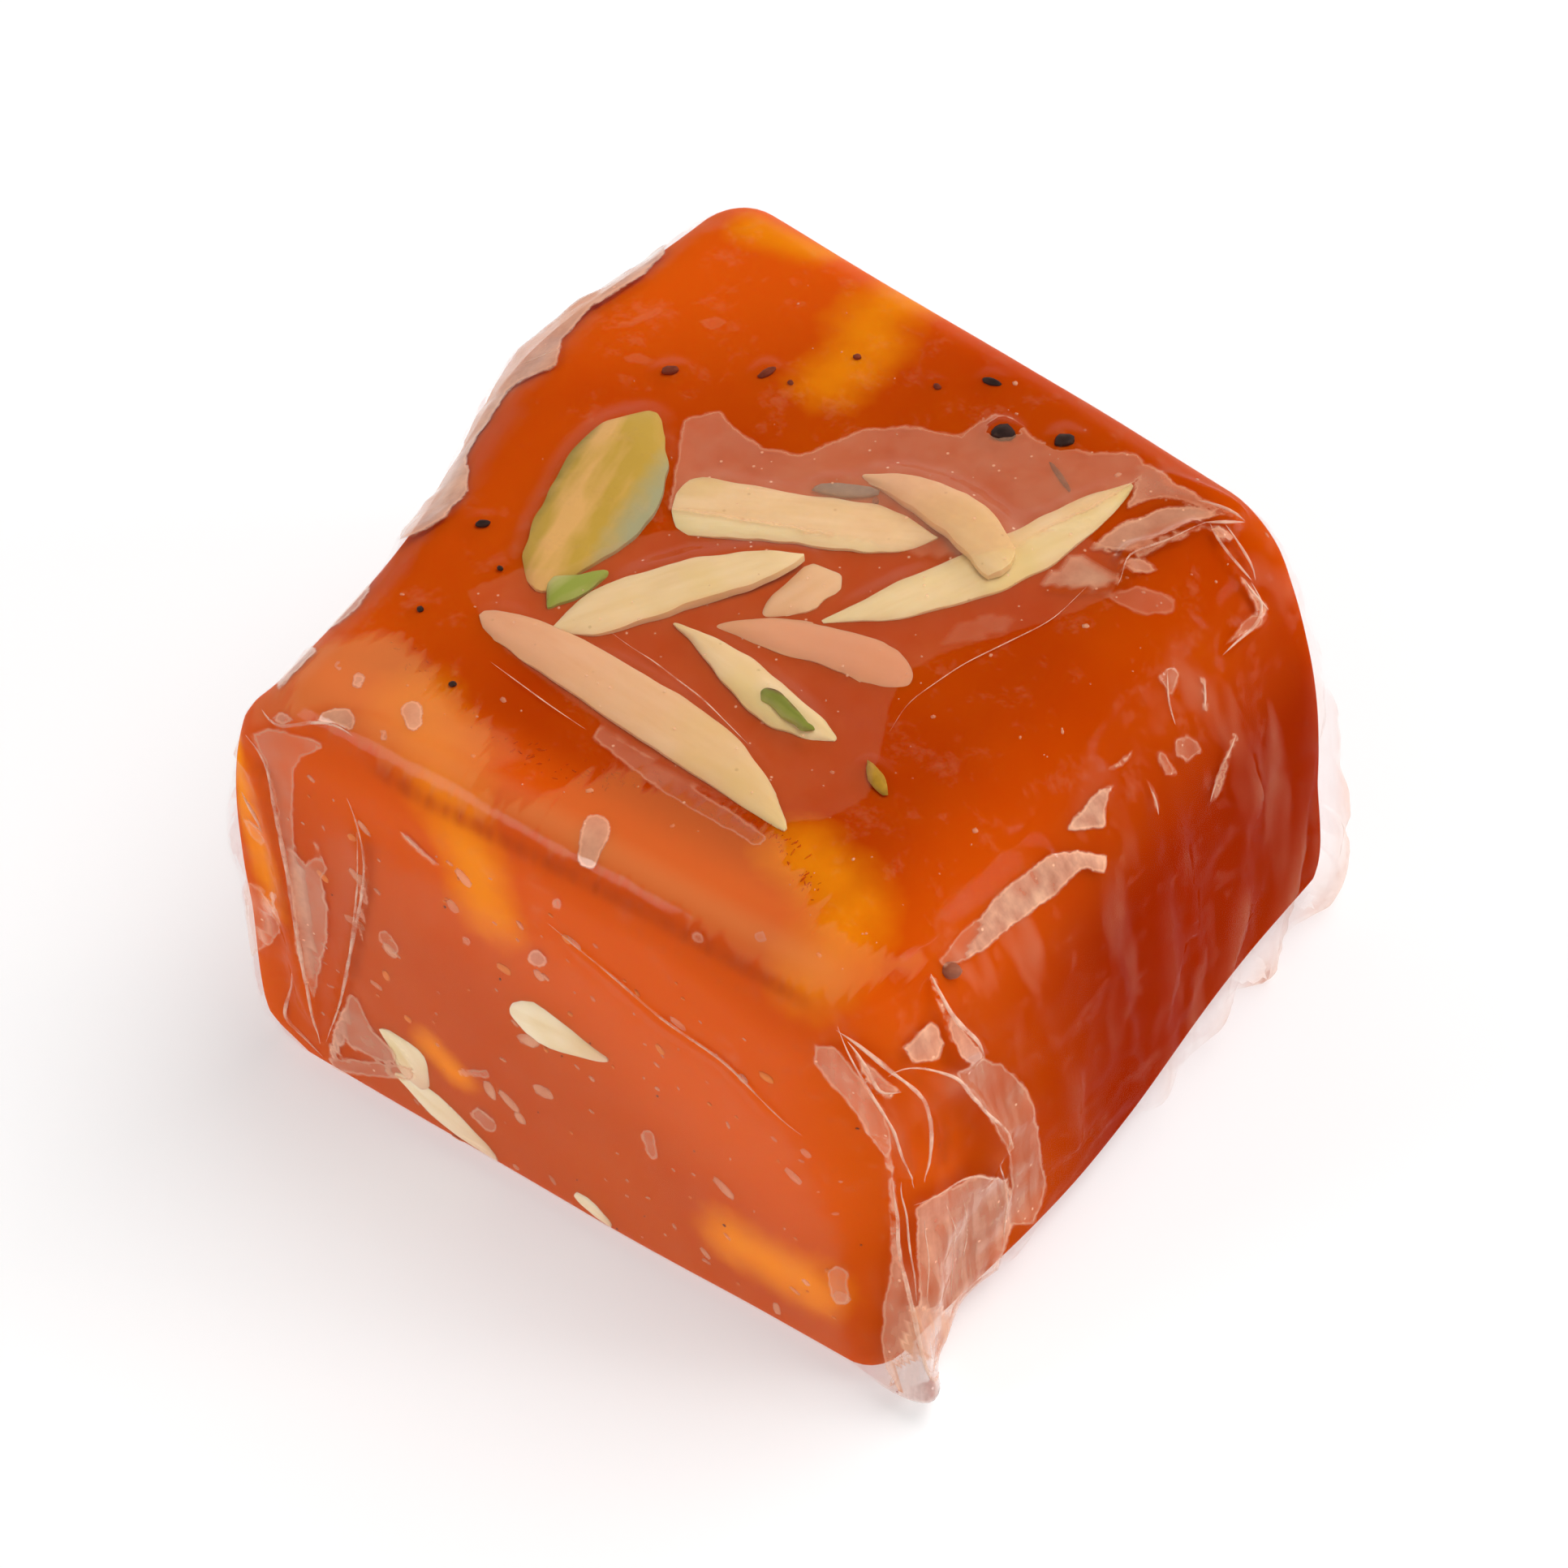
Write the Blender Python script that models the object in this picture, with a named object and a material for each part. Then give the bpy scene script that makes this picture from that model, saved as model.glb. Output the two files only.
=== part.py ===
"""Badam halva: one cut block of clear orange halva shut in cling film, with slivered
almonds and pistachio slices on its top.

Metres, +Z up. X runs along the front cut face, Y goes from the front to the back, and the
origin is the middle of the footprint, on the surface that the sweet rests on.
"""

import math
from collections import namedtuple

import bmesh
import bpy
from mathutils import Vector, noise

# Driving sizes of the block. Its plan is a skewed square, as cut by hand.
MM = 0.001
HEIGHT = 31.8 * MM
FRONT_LEFT = Vector((-20.3, -22.2)) * MM
FRONT_RIGHT = Vector((21.6, -21.4)) * MM
BACK_RIGHT = Vector((18.8, 23.0)) * MM
BACK_LEFT = Vector((-22.6, 27.0)) * MM
HALF_WIDTH = 21.0 * MM
HALF_DEPTH = 23.5 * MM

# Rounding of the edges, softer above than at the base.
TOP_EDGE_RADIUS = 3.0 * MM
BASE_EDGE_RADIUS = 1.4 * MM

# The two ends are soft and lean out to a belly, from the front corner's to the back corner's.
LEFT_BELLY = (3.5 * MM, 3.0 * MM)
RIGHT_BELLY = (1.2 * MM, 5.2 * MM)
BELLY_LEVEL = 0.45
FACE_BELLY = 0.5 * MM
FRONT_LEAN = 1.8 * MM

# In plan the ends also swell, each round a place along the depth and over a reach.
LEFT_SWELL = 3.2 * MM
LEFT_SWELL_PLACE = 10.0 * MM
LEFT_SWELL_LENGTH = 10.0 * MM
RIGHT_SWELL = 1.4 * MM
RIGHT_SWELL_PLACE = -3.0 * MM
RIGHT_SWELL_LENGTH = 12.0 * MM

# Slow unevenness of the surfaces.
WAVE_HEIGHT = 0.35 * MM
WAVE_LENGTH = 14.0 * MM
TOP_WAVE_HEIGHT = 0.25 * MM

# The film's surplus: pleats on the ends, folds down the corners, a skirt and a tail.
PLEAT_HEIGHT = 1.3 * MM
PLEAT_WIDTH = 2.4 * MM
CORNER_FOLD_HEIGHT = 0.9 * MM
SKIRT_REACH = 1.5 * MM
SKIRT_HEIGHT = 3.0 * MM
TAIL_REACH = 4.4 * MM
TAIL_HEIGHT = 8.0 * MM
TAIL_WIDTH = 4.0 * MM

# Facets of the block along its width, depth and height.
FACETS = (20, 30, 20)

# Toppings.
ALMOND_THICKNESS = 1.3 * MM
PISTACHIO_THICKNESS = 1.6 * MM
SHAVING_THICKNESS = 0.8 * MM
GAP = 0.35 * MM
FACETS_ALONG_NUT = 14
FACETS_ACROSS_NUT = 4

# A pleat runs from its place at the base to its place at the top, as shares of the depth.
Pleat = namedtuple("Pleat", "base top height")
LEFT_PLEATS = (
    Pleat(-0.86, -0.97, 1.1),
    Pleat(-0.58, -0.80, 0.8),
    Pleat(-0.22, -0.34, 0.6),
    Pleat(0.14, 0.30, 0.9),
    Pleat(0.46, 0.78, 0.7),
    Pleat(0.84, 0.97, 1.0),
)
RIGHT_PLEATS = (
    Pleat(-0.80, -0.99, 1.1),
    Pleat(-0.52, -0.82, 0.9),
    Pleat(-0.24, -0.42, 0.6),
    Pleat(0.06, 0.10, 0.9),
    Pleat(0.34, 0.58, 0.7),
    Pleat(0.60, 0.92, 1.0),
    Pleat(0.88, 0.99, 0.8),
)

# A nut piece lies from start to end, in millimetres in the block's plan. bow is how far its
# middle swings to the left of that line. The ends run from 0, pointed, to 1, cut square. The
# lifts raise an end that lies on another piece.
Nut = namedtuple("Nut", "name start end width bow start_cut end_cut start_lift end_lift")
ALMONDS = (
    Nut("almond_sliver_1", (-14.8, -9.1), (9.4, -11.7), 4.7, 0.6, 0.35, 0.12, 0, 0),
    Nut("almond_sliver_2", (-10.2, 3.7), (3.2, 8.9), 4.9, 0.4, 0.85, 0.25, 0, 0),
    Nut("almond_sliver_3", (-10.4, -6.6), (-1.6, 4.3), 3.9, 0.7, 0.30, 0.45, 0, 1.75),
    Nut("almond_sliver_4", (2.9, 1.9), (10.7, 19.8), 3.9, -1.6, 0.10, 0.20, 0, 0),
    Nut("almond_sliver_5", (-2.6, 12.7), (7.9, 10.9), 3.8, 1.0, 0.40, 0.80, 0, 1.75),
    Nut("almond_sliver_6", (-0.5, 1.7), (2.1, 5.4), 3.1, 0.0, 0.70, 0.60, 0, 0),
    Nut("almond_sliver_7", (-2.2, -1.2), (9.1, 1.4), 3.3, -0.2, 0.30, 0.90, 0, 0),
    Nut("almond_sliver_8", (-4.6, -3.9), (8.1, -5.7), 4.0, 0.2, 0.05, 0.90, 0, 0),
)
PISTACHIO_SLICE = Nut("pistachio_slice", (-13.5, -4.2), (-14.5, 9.0), 5.8, 0.3, 0.25, 0.55, 0, 0)
PISTACHIO_WEDGE = Nut("pistachio_wedge", (-13.9, -6.3), (-11.6, -5.4), 1.7, 0.0, 0.60, 0.60, 0, 0)
PISTACHIO_SHAVING = Nut(
    "pistachio_shaving", (1.4, -4.3), (5.6, -5.2), 1.3, 0.35, 0.20, 0.20, 1.7, 1.7
)

# Colours, as shares of red, green and blue light.
HALVA_ORANGE = (0.62, 0.10, 0.008)
ALMOND_CREAM = (0.76, 0.58, 0.34)
PISTACHIO_GREEN = (0.42, 0.36, 0.08)


def clear_scene():
    """Removes what the file opens with."""
    for obj in list(bpy.data.objects):
        bpy.data.objects.remove(obj)


def food_material(name, colour, roughness):
    """A Principled finish with no metal in it."""
    material = bpy.data.materials.new(name)
    material.use_nodes = True
    shader = material.node_tree.nodes["Principled BSDF"]
    shader.inputs["Base Color"].default_value = (*colour, 1.0)
    shader.inputs["Roughness"].default_value = roughness
    shader.inputs["Metallic"].default_value = 0.0
    return material


def smooth_step(value, low, high):
    """0 below low, 1 above high and an even curve between."""
    share = min(1.0, max(0.0, (value - low) / (high - low)))
    return share * share * (3.0 - 2.0 * share)


def waves(x, y, z, length):
    """Slow, seedless unevenness from -1 to 1."""
    return noise.noise(Vector((x, y, z)) / length)


def top_height(x, y):
    """How high the block's top is over a point of its plan."""
    return HEIGHT + TOP_WAVE_HEIGHT * waves(x, y, 0.0, WAVE_LENGTH)


def faceted_box(facets):
    """A cube from -1 to 1, cut by planes into this many facets each way."""
    mesh = bmesh.new()
    bmesh.ops.create_cube(mesh, size=2.0)
    for axis, count in enumerate(facets):
        normal = Vector((0.0, 0.0, 0.0))
        normal[axis] = 1.0
        for step in range(1, count):
            everything = mesh.verts[:] + mesh.edges[:] + mesh.faces[:]
            place = normal * (2.0 * step / count - 1.0)
            bmesh.ops.bisect_plane(mesh, geom=everything, plane_co=place, plane_no=normal)
    return mesh


def rounded(point):
    """A point of the unit cube moved to the soft-edged block, with the way out from it."""
    radius = BASE_EDGE_RADIUS
    radius += (TOP_EDGE_RADIUS - BASE_EDGE_RADIUS) * smooth_step(point.z, -0.9, -0.2)
    half = Vector((HALF_WIDTH, HALF_DEPTH, HEIGHT / 2))
    sharp = Vector(half[i] * point[i] for i in range(3))
    core = Vector(max(radius - half[i], min(half[i] - radius, sharp[i])) for i in range(3))
    out = (sharp - core).normalized()
    return core + out * radius, out


def hump(value, place, reach):
    """1 at its place, falling away evenly to 0 over a few reaches."""
    return math.exp(-(((value - place) / reach) ** 2))


def in_plan(across, along):
    """The plan's point for shares from -1 to 1 across its width and along its depth."""
    front = FRONT_LEFT.lerp(FRONT_RIGHT, (across + 1) / 2)
    back = BACK_LEFT.lerp(BACK_RIGHT, (across + 1) / 2)
    plan = front.lerp(back, (along + 1) / 2)
    left = LEFT_SWELL * hump(plan.y, LEFT_SWELL_PLACE, LEFT_SWELL_LENGTH)
    right = RIGHT_SWELL * hump(plan.y, RIGHT_SWELL_PLACE, RIGHT_SWELL_LENGTH)
    plan.x += right * max(0.0, across) ** 3 - left * max(0.0, -across) ** 3
    return plan


def belly(level):
    """How far the soft ends lean out at a level from 0, the base, to 1, the top."""
    if level > BELLY_LEVEL:
        return 1.0 - ((level - BELLY_LEVEL) / (1.0 - BELLY_LEVEL)) ** 2
    return 1.0 - 0.35 * ((BELLY_LEVEL - level) / BELLY_LEVEL) ** 2


def pleat_rise(pleats, along, level):
    """Height of the film's pleats over an end, sharp at each crest."""
    rise = 0.0
    for pleat in pleats:
        crest = pleat.base + (pleat.top - pleat.base) * level
        away = abs(along - crest) * HALF_DEPTH / PLEAT_WIDTH
        fade = 1.0 - 0.65 * smooth_step(level, 0.25, 0.95)
        rise = max(rise, pleat.height * fade * max(0.0, 1.0 - away))
    return rise * PLEAT_HEIGHT


def film_out(across, along, level):
    """How far the gathered film stands off the block at a point of its sides."""
    end = smooth_step(abs(across), 0.90, 0.99)
    pleats = RIGHT_PLEATS if across > 0 else LEFT_PLEATS
    out = end * pleat_rise(pleats, along, level)
    corner = smooth_step(abs(across), 0.88, 0.99) * smooth_step(abs(along), 0.88, 0.99)
    out += CORNER_FOLD_HEIGHT * corner * smooth_step(1.0 - level, 0.05, 0.4)
    flare = math.exp(-level * HEIGHT / SKIRT_HEIGHT)
    scallop = 0.75 + 0.25 * math.sin(9.0 * along + 2.0)
    return out + end * SKIRT_REACH * flare * scallop


def tail_out(across, along, level):
    """The twist of spare film at the foot of the front right corner."""
    if across <= 0:
        return Vector((0.0, 0.0, 0.0))
    from_corner = (1.0 + along) * HALF_DEPTH / TAIL_WIDTH
    share = math.exp(-from_corner * from_corner) * smooth_step(across, 0.86, 1.0)
    share *= math.exp(-level * HEIGHT / TAIL_HEIGHT)
    return Vector((0.98, -0.20, 0.0)) * (TAIL_REACH * share)


def shaped(point):
    """A point of the unit cube on the film-wrapped block."""
    place, out = rounded(point)
    across = place.x / HALF_WIDTH
    along = place.y / HALF_DEPTH
    level = place.z / HEIGHT + 0.5
    plan = in_plan(across, along)
    side = 1.0 - smooth_step(abs(out.z), 0.55, 1.0)
    front_belly, back_belly = RIGHT_BELLY if across > 0 else LEFT_BELLY
    end_belly = front_belly + (back_belly - front_belly) * (along + 1) / 2
    lean = end_belly * belly(level) * math.copysign(abs(across) ** 5, across)
    swell = FACE_BELLY * belly(level) * math.copysign(abs(along) ** 5, along)
    swell += FRONT_LEAN * (level - 0.5) * max(0.0, -along) ** 3
    flat_out = Vector((out.x, out.y, 0.0))
    uneven = WAVE_HEIGHT * waves(plan.x, plan.y, place.z, WAVE_LENGTH)
    stand = side * (uneven + film_out(across, along, level))
    shape = Vector((plan.x + lean, plan.y + swell, level * HEIGHT)) + flat_out * stand
    shape += side * tail_out(across, along, level)
    if out.z > 0:
        shape.z += (top_height(shape.x, shape.y) - HEIGHT) * smooth_step(out.z, 0.0, 1.0)
    return shape


def wrapped_block(collection, material):
    """The block with its film, gathered at both ends, as one closed solid."""
    mesh = faceted_box(FACETS)
    for vert in mesh.verts:
        vert.co = shaped(vert.co)
    return finished(mesh, "halva_in_film", collection, material)


def half_breadth(nut, share):
    """Half the piece's width at a share from -1 at its start to 1 at its end."""
    cut = nut.start_cut if share < 0 else nut.end_cut
    power = 1.9 + 6.0 * cut
    least = 0.16 + 0.5 * cut
    return nut.width / 2 * max(least, (1.0 - abs(share) ** power) ** 0.62)


def nut_piece(nut, thickness, collection, material):
    """A sliver or slice: a thin box whose outline, bow and edges follow the real cut."""
    mesh = faceted_box((FACETS_ALONG_NUT, FACETS_ACROSS_NUT, 1))
    start = Vector(nut.start) * MM
    end = Vector(nut.end) * MM
    along = (end - start).normalized()
    aside = Vector((-along.y, along.x))
    for vert in mesh.verts:
        share, breadth, upper = vert.co
        middle = start.lerp(end, (share + 1) / 2)
        middle += aside * (nut.bow * MM * (1.0 - share * share))
        edge = half_breadth(nut, share) * MM * (1.0 - 0.10 * max(0.0, upper))
        ragged = 0.12 * MM * waves(middle.x, middle.y, breadth * MM, 1.6 * MM)
        plan = middle + aside * (breadth * (edge + ragged))
        crown = thickness * (1.0 - 0.30 * abs(breadth) ** 3) * (1.0 - 0.25 * share**4)
        lift = (nut.start_lift + (nut.end_lift - nut.start_lift) * (share + 1) / 2) * MM
        floor = top_height(plan.x, plan.y) + GAP + lift
        vert.co = Vector((plan.x, plan.y, floor + (crown if upper > 0 else 0.0)))
    return finished(mesh, nut.name, collection, material)


def finished(mesh, name, collection, material):
    """Makes the built mesh an object, shaded smooth but for its real edges."""
    bmesh.ops.recalc_face_normals(mesh, faces=mesh.faces)
    data = bpy.data.meshes.new(name)
    mesh.to_mesh(data)
    mesh.free()
    data.shade_smooth()
    data.set_sharp_from_angle(angle=math.radians(40))
    data.materials.append(material)
    obj = bpy.data.objects.new(name, data)
    collection.objects.link(obj)
    return obj


def centre_on_origin(objects):
    """Moves all the pieces together, so that the footprint's middle is the origin."""
    corners = [obj.matrix_world @ vert.co for obj in objects for vert in obj.data.vertices]
    for axis in range(2):
        low = min(corner[axis] for corner in corners)
        high = max(corner[axis] for corner in corners)
        for obj in objects:
            obj.location[axis] -= (low + high) / 2


def main():
    clear_scene()
    collection = bpy.data.collections.new("badam_halva")
    bpy.context.scene.collection.children.link(collection)
    halva = food_material("halva_under_film", HALVA_ORANGE, 0.12)
    almond = food_material("blanched_almond", ALMOND_CREAM, 0.55)
    pistachio = food_material("pistachio", PISTACHIO_GREEN, 0.5)
    pieces = [wrapped_block(collection, halva)]
    for nut in ALMONDS:
        pieces.append(nut_piece(nut, ALMOND_THICKNESS, collection, almond))
    for nut in (PISTACHIO_SLICE, PISTACHIO_WEDGE):
        pieces.append(nut_piece(nut, PISTACHIO_THICKNESS, collection, pistachio))
    pieces.append(nut_piece(PISTACHIO_SHAVING, SHAVING_THICKNESS, collection, pistachio))
    bpy.context.view_layer.update()
    centre_on_origin(pieces)


main()
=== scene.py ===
# %% [markdown]
# # Badam halva, one wrapped piece
# The real thing is a block of clear starch halva, about 44 by 49 by 32 mm. It is cooked with ghee
# until it is as clear as amber, strewn with almond slivers and pistachio, cut by hand and shut in
# cling film. Here it is built as what it is: a block of halva, a sheet of film round it, and
# each nut as a piece of its own between the two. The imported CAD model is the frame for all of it.

# %% The frame
import math

import bpy
import numpy as np
from mathutils import Matrix, Vector, noise
from mathutils.bvhtree import BVHTree
from mathutils.kdtree import KDTree


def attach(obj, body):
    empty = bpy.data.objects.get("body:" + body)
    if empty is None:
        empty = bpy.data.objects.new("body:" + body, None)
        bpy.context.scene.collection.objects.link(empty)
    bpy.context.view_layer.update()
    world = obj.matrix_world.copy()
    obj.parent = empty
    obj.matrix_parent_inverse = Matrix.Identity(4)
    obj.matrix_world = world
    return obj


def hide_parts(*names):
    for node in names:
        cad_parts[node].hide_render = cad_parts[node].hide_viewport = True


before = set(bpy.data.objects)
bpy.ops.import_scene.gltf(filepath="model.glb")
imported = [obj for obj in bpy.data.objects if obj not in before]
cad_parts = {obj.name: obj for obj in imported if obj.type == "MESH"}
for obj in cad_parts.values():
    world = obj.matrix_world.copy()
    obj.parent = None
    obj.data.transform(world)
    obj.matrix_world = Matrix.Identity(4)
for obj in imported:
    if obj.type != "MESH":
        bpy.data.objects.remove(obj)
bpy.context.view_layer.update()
MM = 0.001

# %% [markdown]
# ## Small helpers
# Blender's operators act on what is selected, so every piece starts from an empty selection.
# All shaping is done in millimetres, which are easier to check against a ruler than metres.

# %% Helpers for pieces
def deselect():
    """Nothing selected and nothing in edit mode."""
    if bpy.context.object and bpy.context.object.mode != "OBJECT":
        bpy.ops.object.mode_set(mode="OBJECT")
    bpy.ops.object.select_all(action="DESELECT")


def named(name):
    """The piece that an operator has just added, with its name."""
    piece = bpy.context.object
    piece.name = piece.data.name = name
    return piece


def places(piece):
    """The piece's vertices as rows of x, y and z, in millimetres."""
    rows = np.empty(len(piece.data.vertices) * 3)
    piece.data.vertices.foreach_get("co", rows)
    return rows.reshape(-1, 3) / MM


def move_to(piece, rows):
    """Puts the piece's vertices at these rows of millimetres."""
    piece.data.vertices.foreach_set("co", (rows * MM).ravel())
    piece.data.update()


def write_down(piece, name, values):
    """Keeps a number or a vector at each vertex, for a material to read."""
    one = values.ndim == 1
    attribute = piece.data.attributes.new(name, "FLOAT" if one else "FLOAT_VECTOR", "POINT")
    attribute.data.foreach_set("value" if one else "vector", values.astype(np.float32).ravel())


def kept(piece, name):
    """The numbers written down at the piece's vertices under this name."""
    numbers = np.empty(len(piece.data.vertices))
    piece.data.attributes[name].data.foreach_get("value", numbers)
    return numbers


def surface_of(piece, rows=None):
    """The piece's surface for rays to meet, in millimetres, with its vertices at these rows."""
    corners = [Vector(row) for row in (places(piece) if rows is None else rows)]
    return BVHTree.FromPolygons(corners, [face.vertices[:] for face in piece.data.polygons])


def finish_with(piece, kind, **settings):
    """Adds a modifier with these settings and applies it."""
    modifier = piece.modifiers.new(kind.title(), kind)
    for setting, value in settings.items():
        setattr(modifier, setting, value)
    bpy.context.view_layer.objects.active = piece
    bpy.ops.object.modifier_apply(modifier=modifier.name)


def cut_cube(name, *cuts):
    """A cube from -1 to 1, subdivided in edit mode once for each number of cuts."""
    deselect()
    bpy.ops.mesh.primitive_cube_add(size=2)
    piece = named(name)
    bpy.ops.object.mode_set(mode="EDIT")
    bpy.ops.mesh.select_all(action="SELECT")
    for number in cuts:
        bpy.ops.mesh.subdivide(number_cuts=number)
    bpy.ops.object.mode_set(mode="OBJECT")
    return piece


# %% Helpers for shapes
def smooth_step(value, low, high):
    """0 below low, 1 above high and an even curve between."""
    share = np.clip((value - low) / (high - low), 0, 1)
    return share * share * (3 - 2 * share)


def hump(value, place, reach):
    """1 at its place, falling away evenly to 0 over a few reaches."""
    return np.exp(-(((value - place) / reach) ** 2))


def waves(points, length, shift=0.0):
    """Slow, seedless unevenness from -1 to 1, with waves of this length in millimetres."""
    return np.array([noise.noise(Vector(point)) for point in points / length + shift])


def by_line(points, out, line):
    """Each point's distance from a line of points, how far along it lies, and on which side."""
    line = np.array(line, float)
    lengths = np.linalg.norm(np.diff(line, axis=0), axis=1)
    before = np.concatenate(([0], np.cumsum(lengths)))
    distance, share, side = np.full(len(points), np.inf), np.zeros(len(points)), np.zeros(len(points))
    for i in range(len(lengths)):
        step = line[i + 1] - line[i]
        t = np.clip((points - line[i]) @ step / lengths[i] ** 2, 0, 1)
        away = points - line[i] - t[:, None] * step
        far = np.linalg.norm(away, axis=1)
        closer = far < distance
        distance[closer] = far[closer]
        share[closer] = ((before[i] + t * lengths[i]) / before[-1])[closer]
        side[closer] = (np.cross(step, away) * out).sum(1)[closer]
    return distance, share, side


def lobe(points, line, height, reach):
    """A round swelling along a line of points, up to this height within this reach."""
    distance, _, _ = by_line(points, points, line)
    return height * np.clip(1 - (distance / reach) ** 2, 0, 1) ** 2


# %% [markdown]
# ## Where the photograph was taken from
# The camera was found by fitting it to the block's corners. Whatever shows on the film, such as a
# pocket of air or a crease, is read in the photograph in its own pixels. It is then laid on the
# film along the line of sight, so it sits on the film from every side.

# %% The photograph's camera
PHOTO_SIDE, PHOTO_FOCAL = 1932, 4000
STATION = np.array((129.0, -146.0, 243.7))
HEADING, DOWN = math.radians(34.14), math.radians(51.0)
RIGHTWARD = np.array((math.cos(HEADING), math.sin(HEADING), 0.0))
LEVEL_AHEAD = np.array((-math.sin(HEADING), math.cos(HEADING), 0.0))
AHEAD = LEVEL_AHEAD * math.cos(DOWN) - np.array((0.0, 0.0, math.sin(DOWN)))
UPWARD = np.cross(RIGHTWARD, AHEAD)
PIXELS_PER_MM = 13.5
TO_SWEET = 296.0


def shown_at(points):
    """The pixel of the photograph at which each point shows."""
    way = points - STATION
    depth = way @ AHEAD
    right_share, up_share = (way @ RIGHTWARD) / depth, (way @ UPWARD) / depth
    return PHOTO_SIDE / 2 + PHOTO_FOCAL * np.column_stack((right_share, -up_share))


def laid_on(tree, pixels):
    """Where the lines of sight through these pixels meet a piece, or the place nearest to it."""
    spots = []
    for x, y in pixels:
        sight = AHEAD + ((x - PHOTO_SIDE / 2) * RIGHTWARD - (y - PHOTO_SIDE / 2) * UPWARD) / PHOTO_FOCAL
        met = tree.ray_cast(Vector(STATION), Vector(sight))[0]
        spots.append(met or tree.find_nearest(Vector(STATION + sight * TO_SWEET))[0])
    return np.array(spots)


print("camera", round(float(np.linalg.norm(STATION))), "mm from the middle of the sweet's foot")

# %% [markdown]
# ## The block's shape
# A hand-cut block is a skewed square in plan, with soft edges, and its two ends lean out because
# the halva slumps before it sets. A cube that is cut into many small faces is the easiest start:
# each of its points knows where it is across, along and up the block, and moves from there. The
# halva and the film share one shape, and the film adds its own surplus.

# %% The block's sizes
HALF = np.array((21.0, 23.5, 15.9))
HEIGHT = 31.8
FRONT_LEFT, FRONT_RIGHT = np.array((-20.3, -22.2)), np.array((21.6, -21.4))
BACK_RIGHT, BACK_LEFT = np.array((18.8, 23.0)), np.array((-22.6, 27.0))
BASE_EDGE_RADIUS, TOP_EDGE_RADIUS = 2.3, 3.2
RIGHT_EDGE_AT_FRONT, RIGHT_EDGE_AT_BACK = 6.2, 4.0
BELLY_LEVEL = 0.45
FACE_BELLY, FRONT_LEAN = 0.5, 1.8
RIGHT_SWELL, RIGHT_SWELL_AT, LEFT_SWELL_AT, SWELL_REACH = 1.4, -3, 10.5, 12
SIDE_UNEVEN, TOP_UNEVEN, UNEVEN_WAVES = 0.35, 0.25, 14
TO_FOOTPRINT = np.array((1.27, -1.98, 0.0))

# What differs between the halva and the film that stands off it at the ends.
HALVA_SHAPE = {"left_belly": (3.4, 2.5), "right_belly": (1.0, 4.8), "left_swell": 3.5}
FILM_SHAPE = {"left_belly": (3.5, 3.0), "right_belly": (1.2, 5.2), "left_swell": 4.0}
# A lobe of halva pressed out down the front left corner, as places along its crest.
CORNER_LOBE = (
    (-19.8, -23.0, 28.0), (-21.2, -22.9, 24.0), (-21.9, -23.1, 18.0), (-22.1, -23.4, 12.0),
    (-21.4, -24.2, 4.0),
)
LOBE_HEIGHT, LOBE_REACH = 1.1, 3.2


# %% The block's shape as one function
def rounded(cube):
    """Points of the unit cube on a soft-edged box, with the way out from each."""
    to_back = smooth_step(cube[:, 1:2], -0.2, 0.9)
    right_edge = RIGHT_EDGE_AT_FRONT + (RIGHT_EDGE_AT_BACK - RIGHT_EDGE_AT_FRONT) * to_back
    upper = TOP_EDGE_RADIUS + (right_edge - TOP_EDGE_RADIUS) * smooth_step(cube[:, :1], 0.3, 0.95)
    radius = BASE_EDGE_RADIUS + (upper - BASE_EDGE_RADIUS) * smooth_step(cube[:, 2:], -0.9, -0.2)
    sharp = cube * HALF
    core = np.clip(sharp, radius - HALF, HALF - radius)
    out = sharp - core
    out /= np.linalg.norm(out, axis=1, keepdims=True)
    return core + out * radius, out


def in_plan(across, along, left_swell):
    """The skewed plan's points, with the slow swell of the two ends."""
    x_share, y_share = (across[:, None] + 1) / 2, (along[:, None] + 1) / 2
    front = FRONT_LEFT + (FRONT_RIGHT - FRONT_LEFT) * x_share
    back = BACK_LEFT + (BACK_RIGHT - BACK_LEFT) * x_share
    plan = front + (back - front) * y_share
    plan[:, 0] += RIGHT_SWELL * hump(plan[:, 1], RIGHT_SWELL_AT, SWELL_REACH) * np.maximum(0, across) ** 3
    plan[:, 0] -= left_swell * hump(plan[:, 1], LEFT_SWELL_AT, SWELL_REACH) * np.maximum(0, -across) ** 3
    return plan


def belly(level):
    """How far an end leans out at a level from 0, the base, to 1, the top."""
    above = 1 - (np.maximum(0, level - BELLY_LEVEL) / (1 - BELLY_LEVEL)) ** 2
    below = 1 - 0.35 * (np.maximum(0, BELLY_LEVEL - level) / BELLY_LEVEL) ** 2
    return np.where(level > BELLY_LEVEL, above, below)


def top_uneven(points):
    """How much the hand-spread top rises or falls at these places, in millimetres."""
    return TOP_UNEVEN * waves((points - TO_FOOTPRINT) * (1, 1, 0), UNEVEN_WAVES)


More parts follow.
